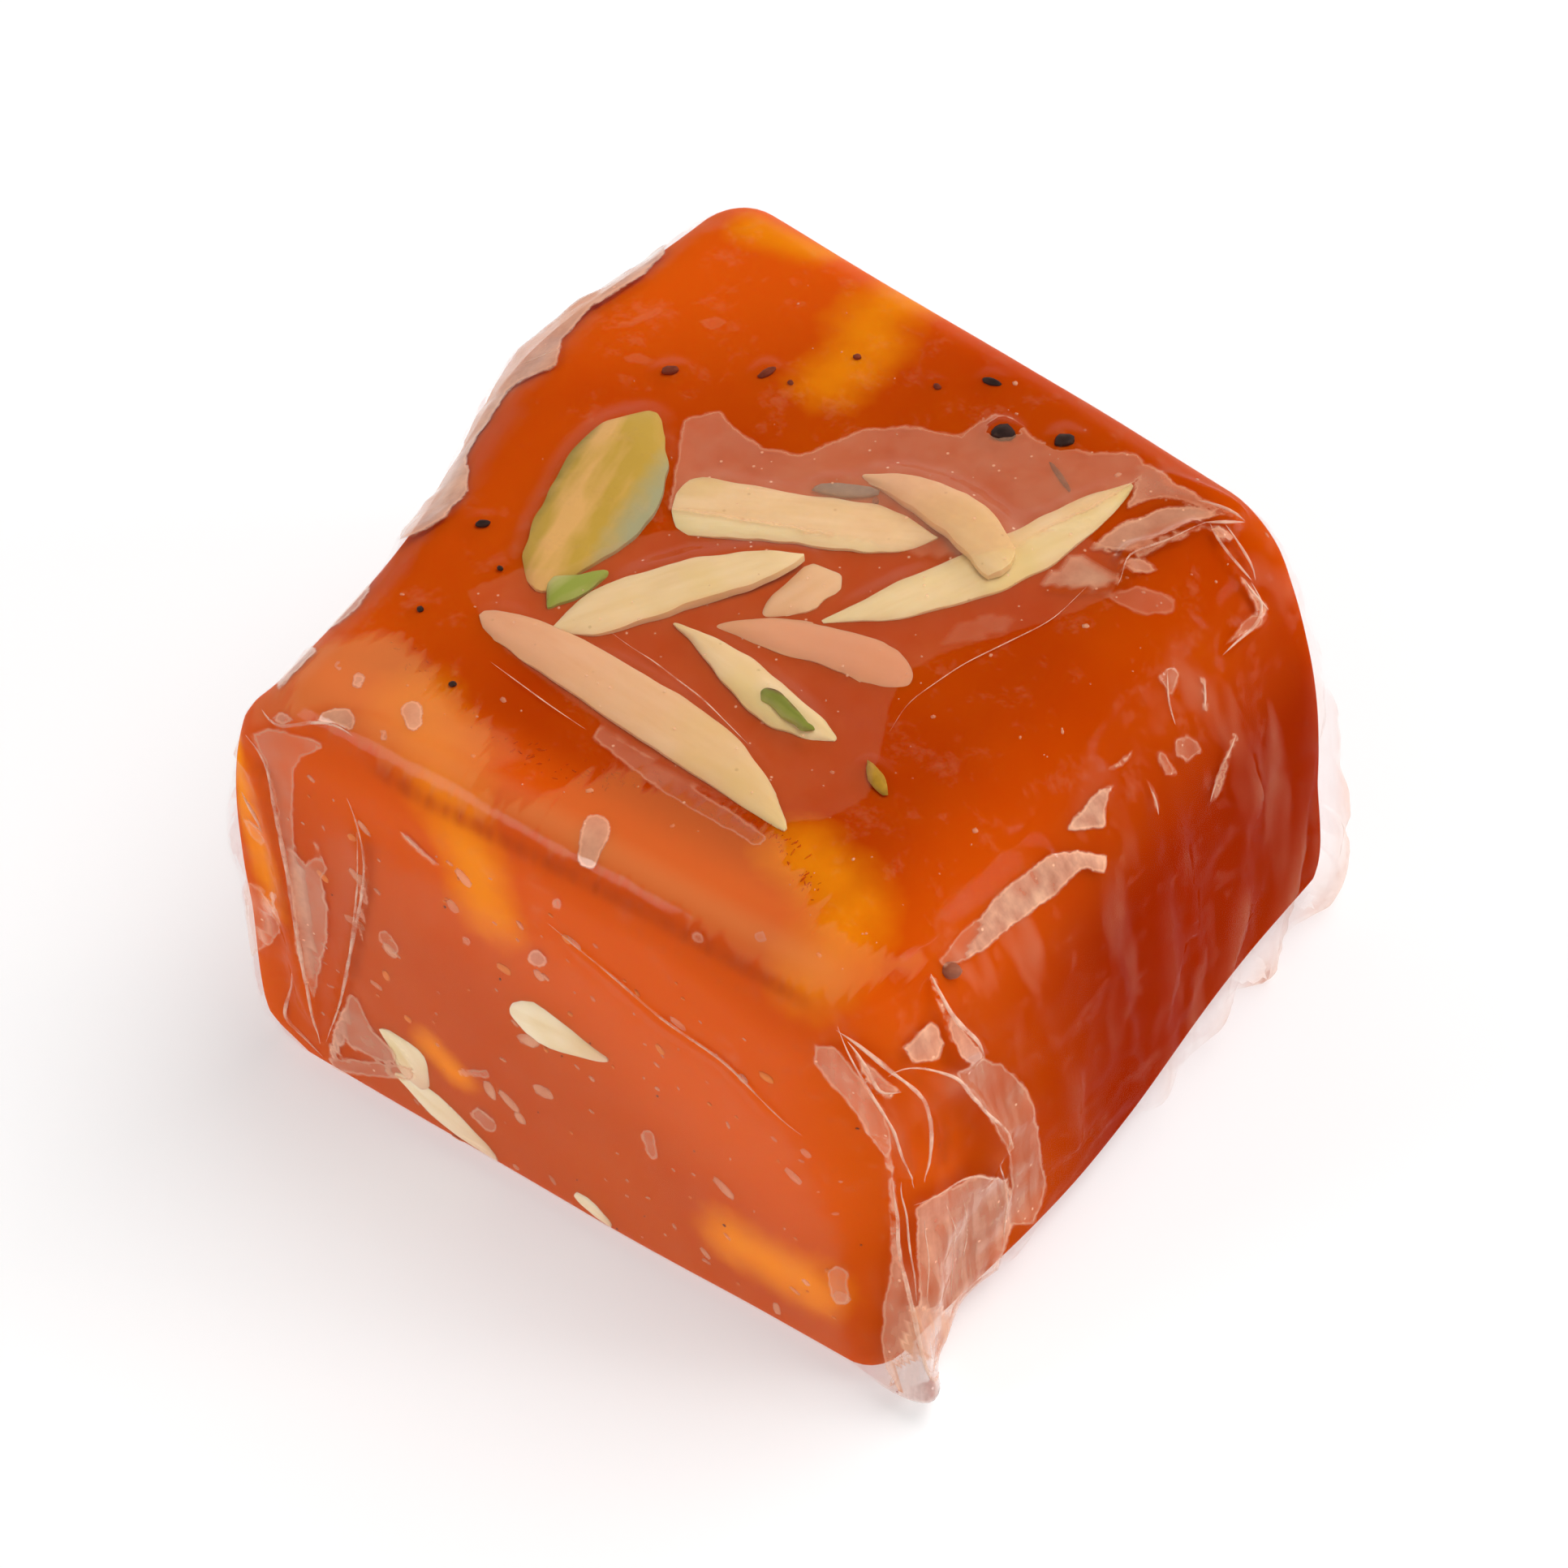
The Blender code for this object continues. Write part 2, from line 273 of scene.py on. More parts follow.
def block_shape(cube, left_belly, right_belly, left_swell):
    """The cube's points on the block, the way out, their across, along and level, and how upright."""
    place, out = rounded(cube)
    across, along = place[:, 0] / HALF[0], place[:, 1] / HALF[1]
    level = place[:, 2] / HEIGHT + 0.5
    plan = in_plan(across, along, left_swell)
    side = 1 - smooth_step(abs(out[:, 2]), 0.55, 1.0)
    bellies = np.where(across[:, None] > 0, right_belly, left_belly)
    end_belly = bellies[:, 0] + (bellies[:, 1] - bellies[:, 0]) * (along + 1) / 2
    shape = np.column_stack((plan, level * HEIGHT))
    uneven = SIDE_UNEVEN * waves(np.column_stack((plan, place[:, 2])), UNEVEN_WAVES)
    shape[:, 0] += end_belly * belly(level) * np.sign(across) * abs(across) ** 5
    shape[:, 1] += FACE_BELLY * belly(level) * np.sign(along) * abs(along) ** 5
    shape[:, 1] += FRONT_LEAN * (level - 0.5) * np.maximum(0, -along) ** 3
    shape[:, :2] += out[:, :2] * (side * uneven)[:, None]
    shape += TO_FOOTPRINT
    shape[:, 2] += top_uneven(shape) * smooth_step(out[:, 2], 0, 1)
    return shape, out, across, along, level, side


# %% [markdown]
# ## The halva
# The block itself is as dense as fudge but clear, so light goes some millimetres into it. Its
# surface is smooth, because the film has pressed on it. It is set a little inside the film, and
# its top is raised by less than half a millimetre, so that the nuts are bedded in it.

# %% Shape the halva
TOP_LIFT = 0.42
INSIDE_FILM, OFF_FLOOR = 0.05, 0.1
halva = cut_cube("halva_block", 7, 7)
shape, out = block_shape(places(halva) * MM, **HALVA_SHAPE)[:2]
shape[:, 2] += TOP_LIFT * smooth_step(out[:, 2], 0.3, 1.0)
shape += out * (lobe(shape, CORNER_LOBE, LOBE_HEIGHT, LOBE_REACH) - INSIDE_FILM)[:, None]
shape[:, 2] = np.maximum(shape[:, 2], OFF_FLOOR)
move_to(halva, shape)
bpy.ops.object.shade_smooth()
halva_places = places(halva)
halva_tree = surface_of(halva)
print("halva block:", len(halva.data.polygons), "faces,", np.ptp(halva_places, axis=0).round(1), "mm")

# %% [markdown]
# ## The nuts
# Slivered almonds are blanched kernels cut lengthwise: flat, a little over a millimetre thick,
# with one straight cut side and one that follows the kernel. Each piece starts as a flat grid.
# Its rows are moved to the real outline, which is given as the distance of both edges from the
# line between its tips, at nine even stations. Solidify gives it its thickness, Bevel softens
# the cut edges, and small waves stop it from looking stamped.

# %% A flat slice from its outline
SLICE_BEVEL, RAGGED_EDGE, RAGGED_LENGTH = 0.22, 0.2, 1.4


def slice_shape(name, start, end, left, right, thickness):
    """A thin slice between two tips on the plane z = 0, with its two edges at nine stations."""
    deselect()
    bpy.ops.mesh.primitive_grid_add(x_subdivisions=30, y_subdivisions=8, size=2)
    piece = named(name)
    start, end = np.array(start), np.array(end)
    length = np.linalg.norm(end - start)
    ahead = (end - start) / length
    aside = np.array((-ahead[1], ahead[0]))
    flat = places(piece) * MM
    share, breadth = (flat[:, 0] + 1) / 2, flat[:, 1]
    stations = np.linspace(0, 1, len(left))
    # The last sixteenth at each end is rounded off.
    to_tip = np.clip((abs(flat[:, 0]) - 0.88) / 0.12, 0, 1)
    keep = 0.35 + 0.65 * np.sqrt(1 - to_tip**2)
    high, low = np.interp(share, stations, left), np.interp(share, stations, right)
    offset = (high + low) / 2 + (high - low) / 2 * keep * breadth
    plan = start + share[:, None] * length * ahead + offset[:, None] * aside
    ragged = waves(np.column_stack((plan, offset)), RAGGED_LENGTH)
    plan += aside * (RAGGED_EDGE * ragged * abs(breadth) ** 3)[:, None]
    move_to(piece, np.column_stack((plan, 0 * share)))
    finish_with(piece, "SOLIDIFY", thickness=thickness * MM, offset=1.0)
    finish_with(piece, "BEVEL", width=SLICE_BEVEL * MM, segments=2, limit_method="ANGLE", angle_limit=0.9)
    finish_with(piece, "SUBSURF", levels=1, render_levels=1)
    rows = places(piece)
    ahead_of_start, beside = (rows[:, :2] - start) @ ahead, (rows[:, :2] - start) @ aside
    share = np.clip(ahead_of_start / length, 0, 1)
    high, low = np.interp(share, stations, left), np.interp(share, stations, right)
    write_down(piece, "along", share)
    off_middle, half_breadth = abs(beside - (high + low) / 2), np.maximum(0.3, (high - low) / 2)
    write_down(piece, "rim", np.clip(off_middle / half_breadth, 0, 1))
    write_down(piece, "grain", np.column_stack((ahead_of_start, beside, rows[:, 2])))
    bpy.ops.object.shade_smooth()
    return piece


# %% A slice laid on the halva
SUNK_BY = 0.02


def nut_piece(name, start, end, left, right, thickness, lifts=(0, 0), crown=0.28):
    """A slice bedded in the top of the halva, lifted at its two tips where it lies on another."""
    piece = slice_shape(name, start, end, left, right, thickness)
    rows, along, rim = places(piece), kept(piece, "along"), kept(piece, "rim")
    above = np.clip(rows[:, 2] / thickness, 0, 1)
    rows[:, 2] -= above * crown * (rim**3 + 1.3 * np.clip(abs(2 * along - 1), 0, 1) ** 4)
    rows[:, 2] += above * (0.07 * waves(rows, 3.0) + 0.03 * waves(rows, 0.9))
    rows[:, 2] += HEIGHT - SUNK_BY + top_uneven(rows) + lifts[0] + (lifts[1] - lifts[0]) * along
    move_to(piece, rows)
    return piece


# %% The eight almond slivers
SLIVER = 0.85
almonds = [
    nut_piece("almond_sliver_long", (-12.0, -12.5), (11.7, -14.7),
              (1.8, 2.8, 3.3, 3.5, 3.6, 3.6, 3.2, 2.3, 0.6),
              (0.3, 0.0, 0.0, 0.0, -0.1, -0.1, 0.0, 0.0, 0.0), SLIVER),
    nut_piece("almond_sliver_broad", (-7.8, 0.5), (6.0, 7.2),
              (2.9, 2.9, 2.6, 2.4, 2.3, 2.3, 2.0, 1.5, 0.2),
              (-1.3, -1.5, -1.5, -1.4, -1.4, -1.6, -1.6, -1.3, -0.2), SLIVER),
    nut_piece("almond_sliver_left", (-7.7, -10.2), (0.9, 1.6),
              (0.5, 1.7, 2.3, 2.3, 2.3, 2.0, 1.7, 1.2, 0.2),
              (-0.1, -1.1, -1.2, -1.1, -1.0, -1.0, -1.0, -0.8, -0.3), SLIVER, (0, 0.7)),
    nut_piece("almond_sliver_curved", (4.4, -1.4), (12.9, 16.6),
              (0.3, 0.2, 0.3, 0.3, 0.4, 0.4, 0.5, 0.7, 0.6),
              (-0.3, -1.5, -2.4, -2.9, -3.1, -2.9, -2.4, -1.3, -0.2), SLIVER),
    nut_piece("almond_sliver_crossing", (-0.5, 8.6), (11.0, 7.0),
              (0.5, 1.6, 2.2, 2.5, 2.7, 2.6, 2.3, 1.7, 1.0),
              (0.1, 0.2, 0.1, 0.0, -0.1, -0.2, -0.6, -1.0, -1.2), SLIVER, (0.0, 0.95)),
    nut_piece("almond_chip", (1.8, -2.9), (3.3, 2.0),
              (0.9, 1.2, 1.4, 1.5, 1.6, 1.8, 2.0, 1.8, 0.6),
              (0.1, -0.2, -0.5, -1.0, -1.1, -0.9, -0.8, -0.8, -0.2), 0.6, (0.15, 0.15)),
    nut_piece("almond_sliver_veiled", (-0.6, -5.1), (11.1, -1.8),
              (0.5, 1.2, 1.7, 1.9, 2.0, 2.0, 1.9, 1.6, 0.6),
              (-0.1, -0.2, -0.4, -0.6, -0.8, -1.0, -1.2, -1.4, -1.4), 0.5, (0.2, 0.2)),
    nut_piece("almond_sliver_lower", (-2.5, -6.1), (10.2, -7.7),
              (0.2, 0.6, 0.9, 1.0, 0.9, 0.7, 0.6, 0.5, 0.1),
              (-0.1, -0.2, -0.7, -1.2, -1.5, -1.8, -1.8, -1.3, -0.4), SLIVER),
]
print("almond slivers:", len(almonds), "pieces of", len(almonds[0].data.polygons), "faces")

# %% [markdown]
# ## The pistachio
# The big slice was cut through the kernel, so it shows its tan inside with a rim of skin. A small
# green wedge and a curled shaving of the same nut lie beside it. They are made the same way as
# the almonds, because a knife cut them the same way too.

# %% The three pistachio pieces
pistachios = [
    nut_piece("pistachio_big_slice", (-10.5, -8.4), (-13.4, 6.1),
              (0.6, 1.8, 2.3, 2.5, 2.7, 2.9, 2.8, 2.4, 0.8),
              (-0.9, -1.7, -2.6, -3.4, -3.7, -3.4, -2.8, -1.6, -0.7), 1.2, crown=0.5),
    nut_piece("pistachio_green_wedge", (-8.9, -9.1), (-7.9, -5.0),
              (0.3, 1.0, 1.6, 1.9, 1.4, 0.9, 0.7, 0.5, 0.3),
              (0.0, -0.1, -0.2, -0.3, -0.3, -0.3, -0.3, -0.2, 0.0), 0.9),
    nut_piece("pistachio_curled_shaving", (4.9, -7.6), (9.0, -8.2),
              (0.5, 0.6, 0.6, 0.5, 0.4, 0.3, 0.2, 0.1, 0.1),
              (-0.2, -0.5, -0.4, -0.5, -0.6, -0.6, -0.5, -0.5, -0.1), 0.45, (0.8, 0.8)),
]
print("pistachio pieces:", [p.name for p in pistachios])

# %% [markdown]
# ## Seeds and crumbs
# Ground cardamom leaves small black seeds and scraps of husk on the top. Each is an ico sphere,
# pressed flat and dented, because a real seed is a rough, angular lump. They are scattered as the
# real ones lie, a few along the back edge and a few by the slice.

# %% Seeds, specks and scraps
def lump(name, place, size, turn=0.0, dent=0.25, divisions=2):
    """A rough lump of this length, breadth and height, in millimetres."""
    deselect()
    bpy.ops.mesh.primitive_ico_sphere_add(subdivisions=divisions, radius=1)
    piece = named(name)
    rows = places(piece) * MM
    rows *= (1 + dent * waves(rows, 0.9, place[0]))[:, None]
    rows *= np.array(size) / 2
    c, s = math.cos(turn), math.sin(turn)
    rows = np.column_stack((c * rows[:, 0] - s * rows[:, 1], s * rows[:, 0] + c * rows[:, 1], rows[:, 2]))
    move_to(piece, rows + np.array(place))
    bpy.ops.object.shade_smooth()
    return piece


TOP = HEIGHT + TOP_LIFT
# Each seed has its place on the top, its length, breadth and height, and its turn.
SEEDS = (
    ((4.4, 15.8), (1.5, 1.2, 0.8), 0.6), ((7.6, 17.3), (1.2, 0.9, 0.7), 0.9),
    ((1.4, 18.8), (1.3, 0.5, 0.5), 0.2), ((-1.0, 16.8), (0.5, 0.4, 0.4), 0.0),
    ((-6.3, 16.2), (0.5, 0.4, 0.4), 0.5), ((-9.9, 12.3), (1.3, 0.5, 0.4), 1.2),
    ((1.4, 7.6), (0.4, 0.4, 0.4), 0.0), ((-14.7, 9.3), (1.1, 0.6, 0.5), 0.8),
    ((-8.3, 12.4), (0.4, 0.3, 0.3), 0.0), ((-16.1, -6.2), (0.9, 0.5, 0.4), 0.7),
    ((-14.9, -13.2), (0.4, 0.4, 0.3), 0.0), ((-13.1, -8.3), (0.4, 0.3, 0.3), 0.0),
    ((-9.8, -16.5), (0.5, 0.4, 0.3), 0.3),
)
# These are bits of husk and not whole seeds.
HUSKY_SEEDS = (4, 5, 6, 7, 8, 9)
seeds = [
    lump(f"cardamom_seed_{number}", (*spot, TOP + size[2] * 0.25), size, turn)
    for number, (spot, size, turn) in enumerate(SEEDS, 1)
]
husk = lump("cardamom_husk", (9.0, 14.9, TOP + 0.12), (2.6, 0.35, 0.3), -0.5)
fleck = lump("pistachio_fleck", (13.6, -8.8, TOP + 0.05), (2.8, 0.8, 0.4), -0.55, 0.5)
grey_bit = lump("pistachio_grey_bit", (-0.5, 7.3, TOP + 0.1), (3.6, 1.0, 0.5), 0.5, 0.3)
print("seeds and scraps:", len(seeds) + 3)

# %% [markdown]
# ## Nut bits in the cut face
# The knife went through nuts that are sunk in the halva, so the front face shows cream bits of
# them, flush with the cut. Each is a slice like the others, but upright: it stands a tenth of a
# millimetre proud of the halva and stays under the film. How far the front stands at a place
# comes from the halva's own mesh, by a ray from the front.

# %% Bits flush with the front face
BIT_THICKNESS, PROUD, RIM_DROP = 0.7, 0.10, 0.16


def met_from_front(x, z):
    """Where a ray from the front meets the halva at this place, and the way out there."""
    return halva_tree.ray_cast(Vector((x, -60.0, z)), Vector((0, 1, 0)))[:2]


def face_bit(name, start, end, upper, lower):
    """A nut bit in the front face, between two tips given as x and z, with its two edges."""
    piece = slice_shape(name, start, end, upper, lower, BIT_THICKNESS)
    rows, rim = places(piece), kept(piece, "rim")
    facing = np.array([met_from_front(x, max(0.6, z))[0].y for x, z in rows[:, :2]])
    depth = facing - PROUD + RIM_DROP * rim**4 + (BIT_THICKNESS - rows[:, 2])
    move_to(piece, np.column_stack((rows[:, 0], depth, rows[:, 1])))
    deselect()
    piece.select_set(True)
    bpy.ops.object.mode_set(mode="EDIT")
    bpy.ops.mesh.select_all(action="SELECT")
    bpy.ops.mesh.normals_make_consistent(inside=False)
    bpy.ops.object.mode_set(mode="OBJECT")
    return piece


bits = [
    face_bit("nut_bit_middle", (-1.4, 17.3), (5.4, 17.5),
             (0.6, 1.4, 1.8, 1.6, 1.3, 1.0, 0.6, 0.3, 0.1),
             (-0.6, -1.5, -1.9, -1.9, -1.7, -1.4, -1.1, -0.8, -0.3)),
    face_bit("nut_bit_left", (-11.8, 8.6), (-9.0, 5.0),
             (0.5, 1.2, 1.9, 2.4, 2.5, 2.2, 1.7, 1.2, 0.6),
             (-0.4, -0.6, -0.7, -0.9, -1.2, -1.4, -1.4, -1.2, -0.6)),
    face_bit("nut_bit_lower_left", (-11.2, 4.9), (-3.9, 1.9),
             (0.4, 0.9, 1.4, 1.6, 1.5, 1.3, 1.0, 0.8, 0.3),
             (-0.3, -0.6, -1.0, -1.3, -1.3, -1.2, -1.0, -0.7, -0.2)),
    face_bit("nut_bit_low", (2.0, 3.1), (4.6, 2.0),
             (0.4, 0.6, 0.8, 0.8, 0.8, 0.7, 0.6, 0.5, 0.2),
             (-0.3, -0.5, -0.6, -0.6, -0.6, -0.6, -0.5, -0.4, -0.2)),
]
# The crumb at the front right edge lies on the halva where the photograph shows it.
CRUMB = (756, 1036)
pebble = lump("brown_crumb", laid_on(halva_tree, [CRUMB])[0], (1.3, 1.0, 0.9), 0.3)
print("bits in the front face:", len(bits), "and one crumb")

# %% [markdown]
# ## Bubbles and specks
# Halva is stirred for an hour, so it is full of small bubbles, and the knife and the film draw
# the ones at its face into flat drops. Ground spice leaves orange and dark specks between them.
# Each is a small, flattened ico sphere on the face. One seeded scatter places them all, and each
# kind is then joined into one piece.

# %% Scatter them on the faces
scatter = np.random.default_rng(7)


def strewn(name, count, sizes, stretch, spot_on_face, lean=-0.75):
    """One piece of many flat drops, each of a size between the two given, in millimetres."""
    drops = []
    for number in range(count):
        size = sizes[0] * (sizes[1] / sizes[0]) ** (scatter.random() ** 1.8)
        long = size * scatter.uniform(1.0, stretch)
        place, way_out = spot_on_face()
        turn = lean + 0.5 * scatter.standard_normal()
        drop = lump(f"{name}_{number}", (0, 0, 0), (long, size, 0.12), turn, 0.3, 2 if size > 0.5 else 1)
        upright = Vector(way_out).to_track_quat("Z", "Y").to_matrix()
        move_to(drop, places(drop) @ np.array(upright).T + place)
        drops.append(drop)
    deselect()
    for drop in drops:
        drop.select_set(True)
    bpy.context.view_layer.objects.active = drops[0]
    bpy.ops.object.join()
    return named(name)


def on_front():
    """A random place on the front face, and the way out there."""
    place, way_out = met_from_front(scatter.uniform(-17, 22), scatter.uniform(1.5, 28))
    return np.array(place), way_out


def on_the_top():
    """A random place on the top, more of them near the right and the front, and the way out."""
    x, y = 20 - 37 * scatter.random() ** 1.5, -20 + 40 * scatter.random() ** 1.3
    place, way_out = halva_tree.ray_cast(Vector((x, y, 60.0)), Vector((0, 0, -1)))[:2]
    return np.array(place), way_out


bubbles = strewn("air_bubbles", 115, (0.16, 1.1), 2.2, on_front)
top_bubbles = strewn("air_bubbles_on_top", 110, (0.10, 0.4), 1.6, on_the_top)
orange_specks = strewn("orange_specks", 36, (0.2, 0.7), 1.8, on_front)
dark_specks = strewn("dark_specks", 14, (0.12, 0.32), 1.6, on_front)
loose = (bubbles, top_bubbles, orange_specks, dark_specks)
print("bubbles and specks:", sum(len(p.data.polygons) for p in loose), "faces")

# %% [markdown]
# The film was wiped down over the front's upper edge. That brushed the halva's greasy skin into
# short, dark strokes, which run across the edge above the pale band.

# %% Brush marks above the pale band
BAND_HEAD = ((320, 778), (398, 856), (467, 886), (527, 889), (576, 909), (624, 934), (648, 972))


def beside_band():
    """A random place near the band's upper border, laid on the halva, and the way out."""
    step = scatter.integers(len(BAND_HEAD) - 1)
    share = scatter.random()
    pixel = (1 - share) * np.array(BAND_HEAD[step]) + share * np.array(BAND_HEAD[step + 1])
    spot = laid_on(halva_tree, [pixel + scatter.normal(0, 5.0, 2)])[0]
    place, way_out = halva_tree.find_nearest(Vector(spot))[:2]
    return np.array(place), way_out


brush_marks = strewn("brush_marks", 170, (0.05, 0.13), 6.0, beside_band, 1.75)
print("brush marks:", len(brush_marks.data.polygons), "faces")

# %% [markdown]
# ## The cling film
# Cling film is far too thin to model with a thickness. It is one closed sheet that lies on the
# halva, rides up over the nuts and stands off in pleats at the two ends, where it was gathered.
# The sheet starts as a finely cut cube in the block's own shape. Then come its pleats, skirt and
# tail, the same as in the CAD solid, the crumple of the ends, and each fold that shows.

# %% The film's surplus at the ends
# A pleat runs from its place at the base to its place at the top, as shares of the depth.
# The third number is its height in millimetres.
LEFT_PLEATS = (
    (-0.58, -0.80, 0.8), (-0.22, -0.34, 0.6), (0.14, 0.30, 0.9), (0.46, 0.78, 0.7), (0.84, 0.97, 1.0),
)
RIGHT_PLEATS = (
    (-0.80, -0.99, 1.1), (-0.52, -0.82, 0.9), (-0.24, -0.42, 0.6), (0.06, 0.10, 0.9), (0.34, 0.58, 0.7),
    (0.60, 0.92, 1.0), (0.88, 0.99, 0.8),
)
PLEAT_REACH, PLEAT_GAIN = 2.4, 1.3
CORNER_STAND, SKIRT, SKIRT_HEIGHT = 0.9, 1.5, 3.0
TAIL, TAIL_HEIGHT, TAIL_DEPTH, TAIL_WAY = 4.8, 8.0, 3.4, np.array((0.98, -0.20, 0.0))


def pleat_rise(pleats, along, level):
    """Height of the pleats over an end, sharp at each crest and lower towards the top."""
    rise = np.zeros(len(along))
    lower = 1 - 0.65 * smooth_step(level, 0.25, 0.95)
    for base, top, height in pleats:
        away = abs(along - (base + (top - base) * level)) * HALF[1] / PLEAT_REACH
        rise = np.maximum(rise, height * lower * np.maximum(0, 1 - away))
    return PLEAT_GAIN * rise


def film_surplus(across, along, level):
    """How far the gathered film stands off, and how far the tail draws it out."""
    end = smooth_step(abs(across), 0.90, 0.99)
    right_rise, left_rise = pleat_rise(RIGHT_PLEATS, along, level), pleat_rise(LEFT_PLEATS, along, level)
    stand = end * np.where(across > 0, right_rise, left_rise)
    corner = smooth_step(abs(across), 0.88, 0.99) * smooth_step(abs(along), 0.88, 0.99)
    stand += CORNER_STAND * corner * smooth_step(1 - level, 0.05, 0.4)
    # The right end is drawn in tight at its foot, but for the twist of film at its front corner.
    slack = np.where(across > 0, smooth_step(along + 0.6 * level, -0.2, 0.8), smooth_step(along, -0.7, 0.3))
    stand *= 0.3 + 0.7 * slack
    wavy = 0.75 + 0.25 * np.sin(9 * along + 2)
    stand += end * SKIRT * slack * np.exp(-level * HEIGHT / SKIRT_HEIGHT) * wavy
    tail = hump((1 + along) * HALF[1], 0, TAIL_DEPTH) * smooth_step(across, 0.86, 1.0)
    tail *= TAIL * np.exp(-level * HEIGHT / TAIL_HEIGHT)
    return stand, tail[:, None] * TAIL_WAY


# %% [markdown]
# Crumpled film is flat between its creases. The difference between the squared distances to two
# scattered sets of points is exactly that: a plane in every cell, and a sharp crease between.

# %% Crumple and folds
def nearest_squared(points, scattered):
    """The squared distance of each point to the nearest of the scattered ones."""
    tree = KDTree(len(scattered))
    for number, spot in enumerate(scattered):
        tree.insert(Vector(spot), number)
    tree.balance()
    return np.array([tree.find(Vector(point))[2] ** 2 for point in points])


def crumple(points, size, seed):
    """Flat facets of about this size with creases between them, from about -1 to 1."""
    draws = np.random.default_rng(seed)
    low, high = points.min(0) - size, points.max(0) + size
    count = int(np.prod((high - low) / size))
    first, second = (nearest_squared(points, draws.uniform(low, high, (count, 3))) for _ in range(2))
    return (first - second) / (0.7 * size * size)


def fold(points, out, line, height, left, right, start=0.15, end=0.15):
    """A crease along a line, with its own width on each side, that fades at its two ends."""
    distance, share, side = by_line(points, out, line)
    rise = np.maximum(0, 1 - distance / np.where(side > 0, left, right)) ** 1.3
    return height * rise * smooth_step(share, -0.01, start) * smooth_step(1 - share, -0.01, end)


# %% The folds that show, as lines of the photograph's pixels
# The two laps of film down the front left corner.
LAP = ((200, 852), (211, 862), (218, 880), (235, 967), (246, 1035), (260, 1095))
SECOND_LAP = ((281, 902), (291, 928), (295, 949), (294, 973), (276, 1063), (265, 1093))
# The slack crease across the front, and the folds at the front right corner.
SLACK = ((440, 1000), (480, 1032), (530, 1075), (580, 1108), (640, 1165))
CORNER_EDGE = ((668, 1080), (676, 1102), (702, 1145), (714, 1168), (728, 1206))
TAIL_EDGE = ((711, 1199), (728, 1306), (734, 1335), (741, 1359), (750, 1383))
HOOD = ((708, 1119), (717, 1112), (727, 1111), (744, 1114), (758, 1119), (780, 1140), (803, 1180))
BLADE = ((741, 1039), (748, 1056), (758, 1072), (783, 1103))
SHOULDER = ((667, 1083), (708, 1115), (720, 1122), (734, 1134), (741, 1151), (742, 1169), (736, 1201))
# The tucked corner at the back right, where folds run to one point.
STAR_LONG = ((886, 737), (893, 728), (890, 717), (896, 710), (920, 704), (955, 688))
STAR_BACK = ((955, 688), (982, 686), (975, 677), (912, 650))
STAR_OUT = ((958, 689), (963, 701), (976, 717), (990, 733))
STAR_SIDE = ((990, 735), (999, 748), (1001, 757), (995, 768), (980, 779), (968, 791))
# Each fold has its height in millimetres, then its width to the left and right of the way it runs.
FOLDS_THAT_SHOW = (
    (LAP, 0.7, 0.9, 1.8), (SECOND_LAP, 0.5, 0.7, 2.0), (SLACK, 0.3, 0.6, 1.6),
    (CORNER_EDGE, 0.7, 0.8, 1.4), (TAIL_EDGE, 0.8, 0.9, 1.6), (HOOD, 0.7, 0.6, 2.2),
    (BLADE, 0.8, 0.6, 1.8), (SHOULDER, 0.5, 0.5, 0.9), (STAR_LONG, 0.6, 0.7, 1.1),
    (STAR_BACK, 0.5, 0.6, 1.0), (STAR_OUT, 0.5, 0.5, 0.9), (STAR_SIDE, 0.5, 0.7, 1.1),
)
# The gathered ends are hidden in the photograph, so their folds are free, in millimetres.
FOLDS_OF_THE_ENDS = (
    (((25.6, -8.0, 5.0), (25.2, -9.5, 16.0), (23.6, -12.0, 27.5)), 0.7, 0.9, 1.5),
    (((26.3, -2.0, 4.0), (25.4, -4.0, 18.0), (24.0, -5.5, 27.0)), 0.6, 0.8, 1.4),
    (((26.8, 6.0, 4.0), (26.0, 3.5, 16.0), (24.3, 3.0, 27.0)), 0.8, 0.9, 1.6),
    (((26.6, 13.0, 4.0), (26.2, 11.0, 15.0), (24.4, 9.5, 25.5)), 0.7, 0.9, 1.5),
    (((-24.5, -12.0, 5.0), (-24.3, -14.0, 15.0), (-21.5, -16.0, 28.0)), 0.7, 0.9, 1.5),
    (((-25.6, -2.0, 4.0), (-25.5, -1.0, 14.0), (-22.5, 1.0, 28.0)), 0.8, 0.9, 1.6),
    (((-26.2, 12.0, 4.0), (-26.4, 13.5, 15.0), (-24.0, 16.0, 28.0)), 0.7, 0.9, 1.5),
)

# %% Shape the film
# The crumple has large and small facets, each with a height, a size and a seed.
CRUMPLES = ((0.42, 7.0, 11), (0.18, 2.8, 12))
SLACK_OF_FACES, SLACK_OF_ENDS = 0.10, 0.9
FILM_ABOVE_HALVA = 0.1
film = cut_cube("cling_film", 11, 9)
sheet, out, across, along, level, side = block_shape(places(film) * MM, **FILM_SHAPE)
stand, tail = film_surplus(across, along, level)
sheet += out * (side * stand)[:, None] + side[:, None] * tail
sheet[:, 2] += (TOP_LIFT + FILM_ABOVE_HALVA) * smooth_step(out[:, 2], 0.3, 1.0)
ends = smooth_step(abs(across), 0.80, 0.97) * smooth_step(level, 0.0, 0.08)
rough = sum(height * crumple(sheet, size, seed) for height, size, seed in CRUMPLES)
lift = (SLACK_OF_FACES + SLACK_OF_ENDS * ends) * rough * (1 - smooth_step(-out[:, 2], 0.2, 0.8))
smooth_tree = surface_of(film, sheet)
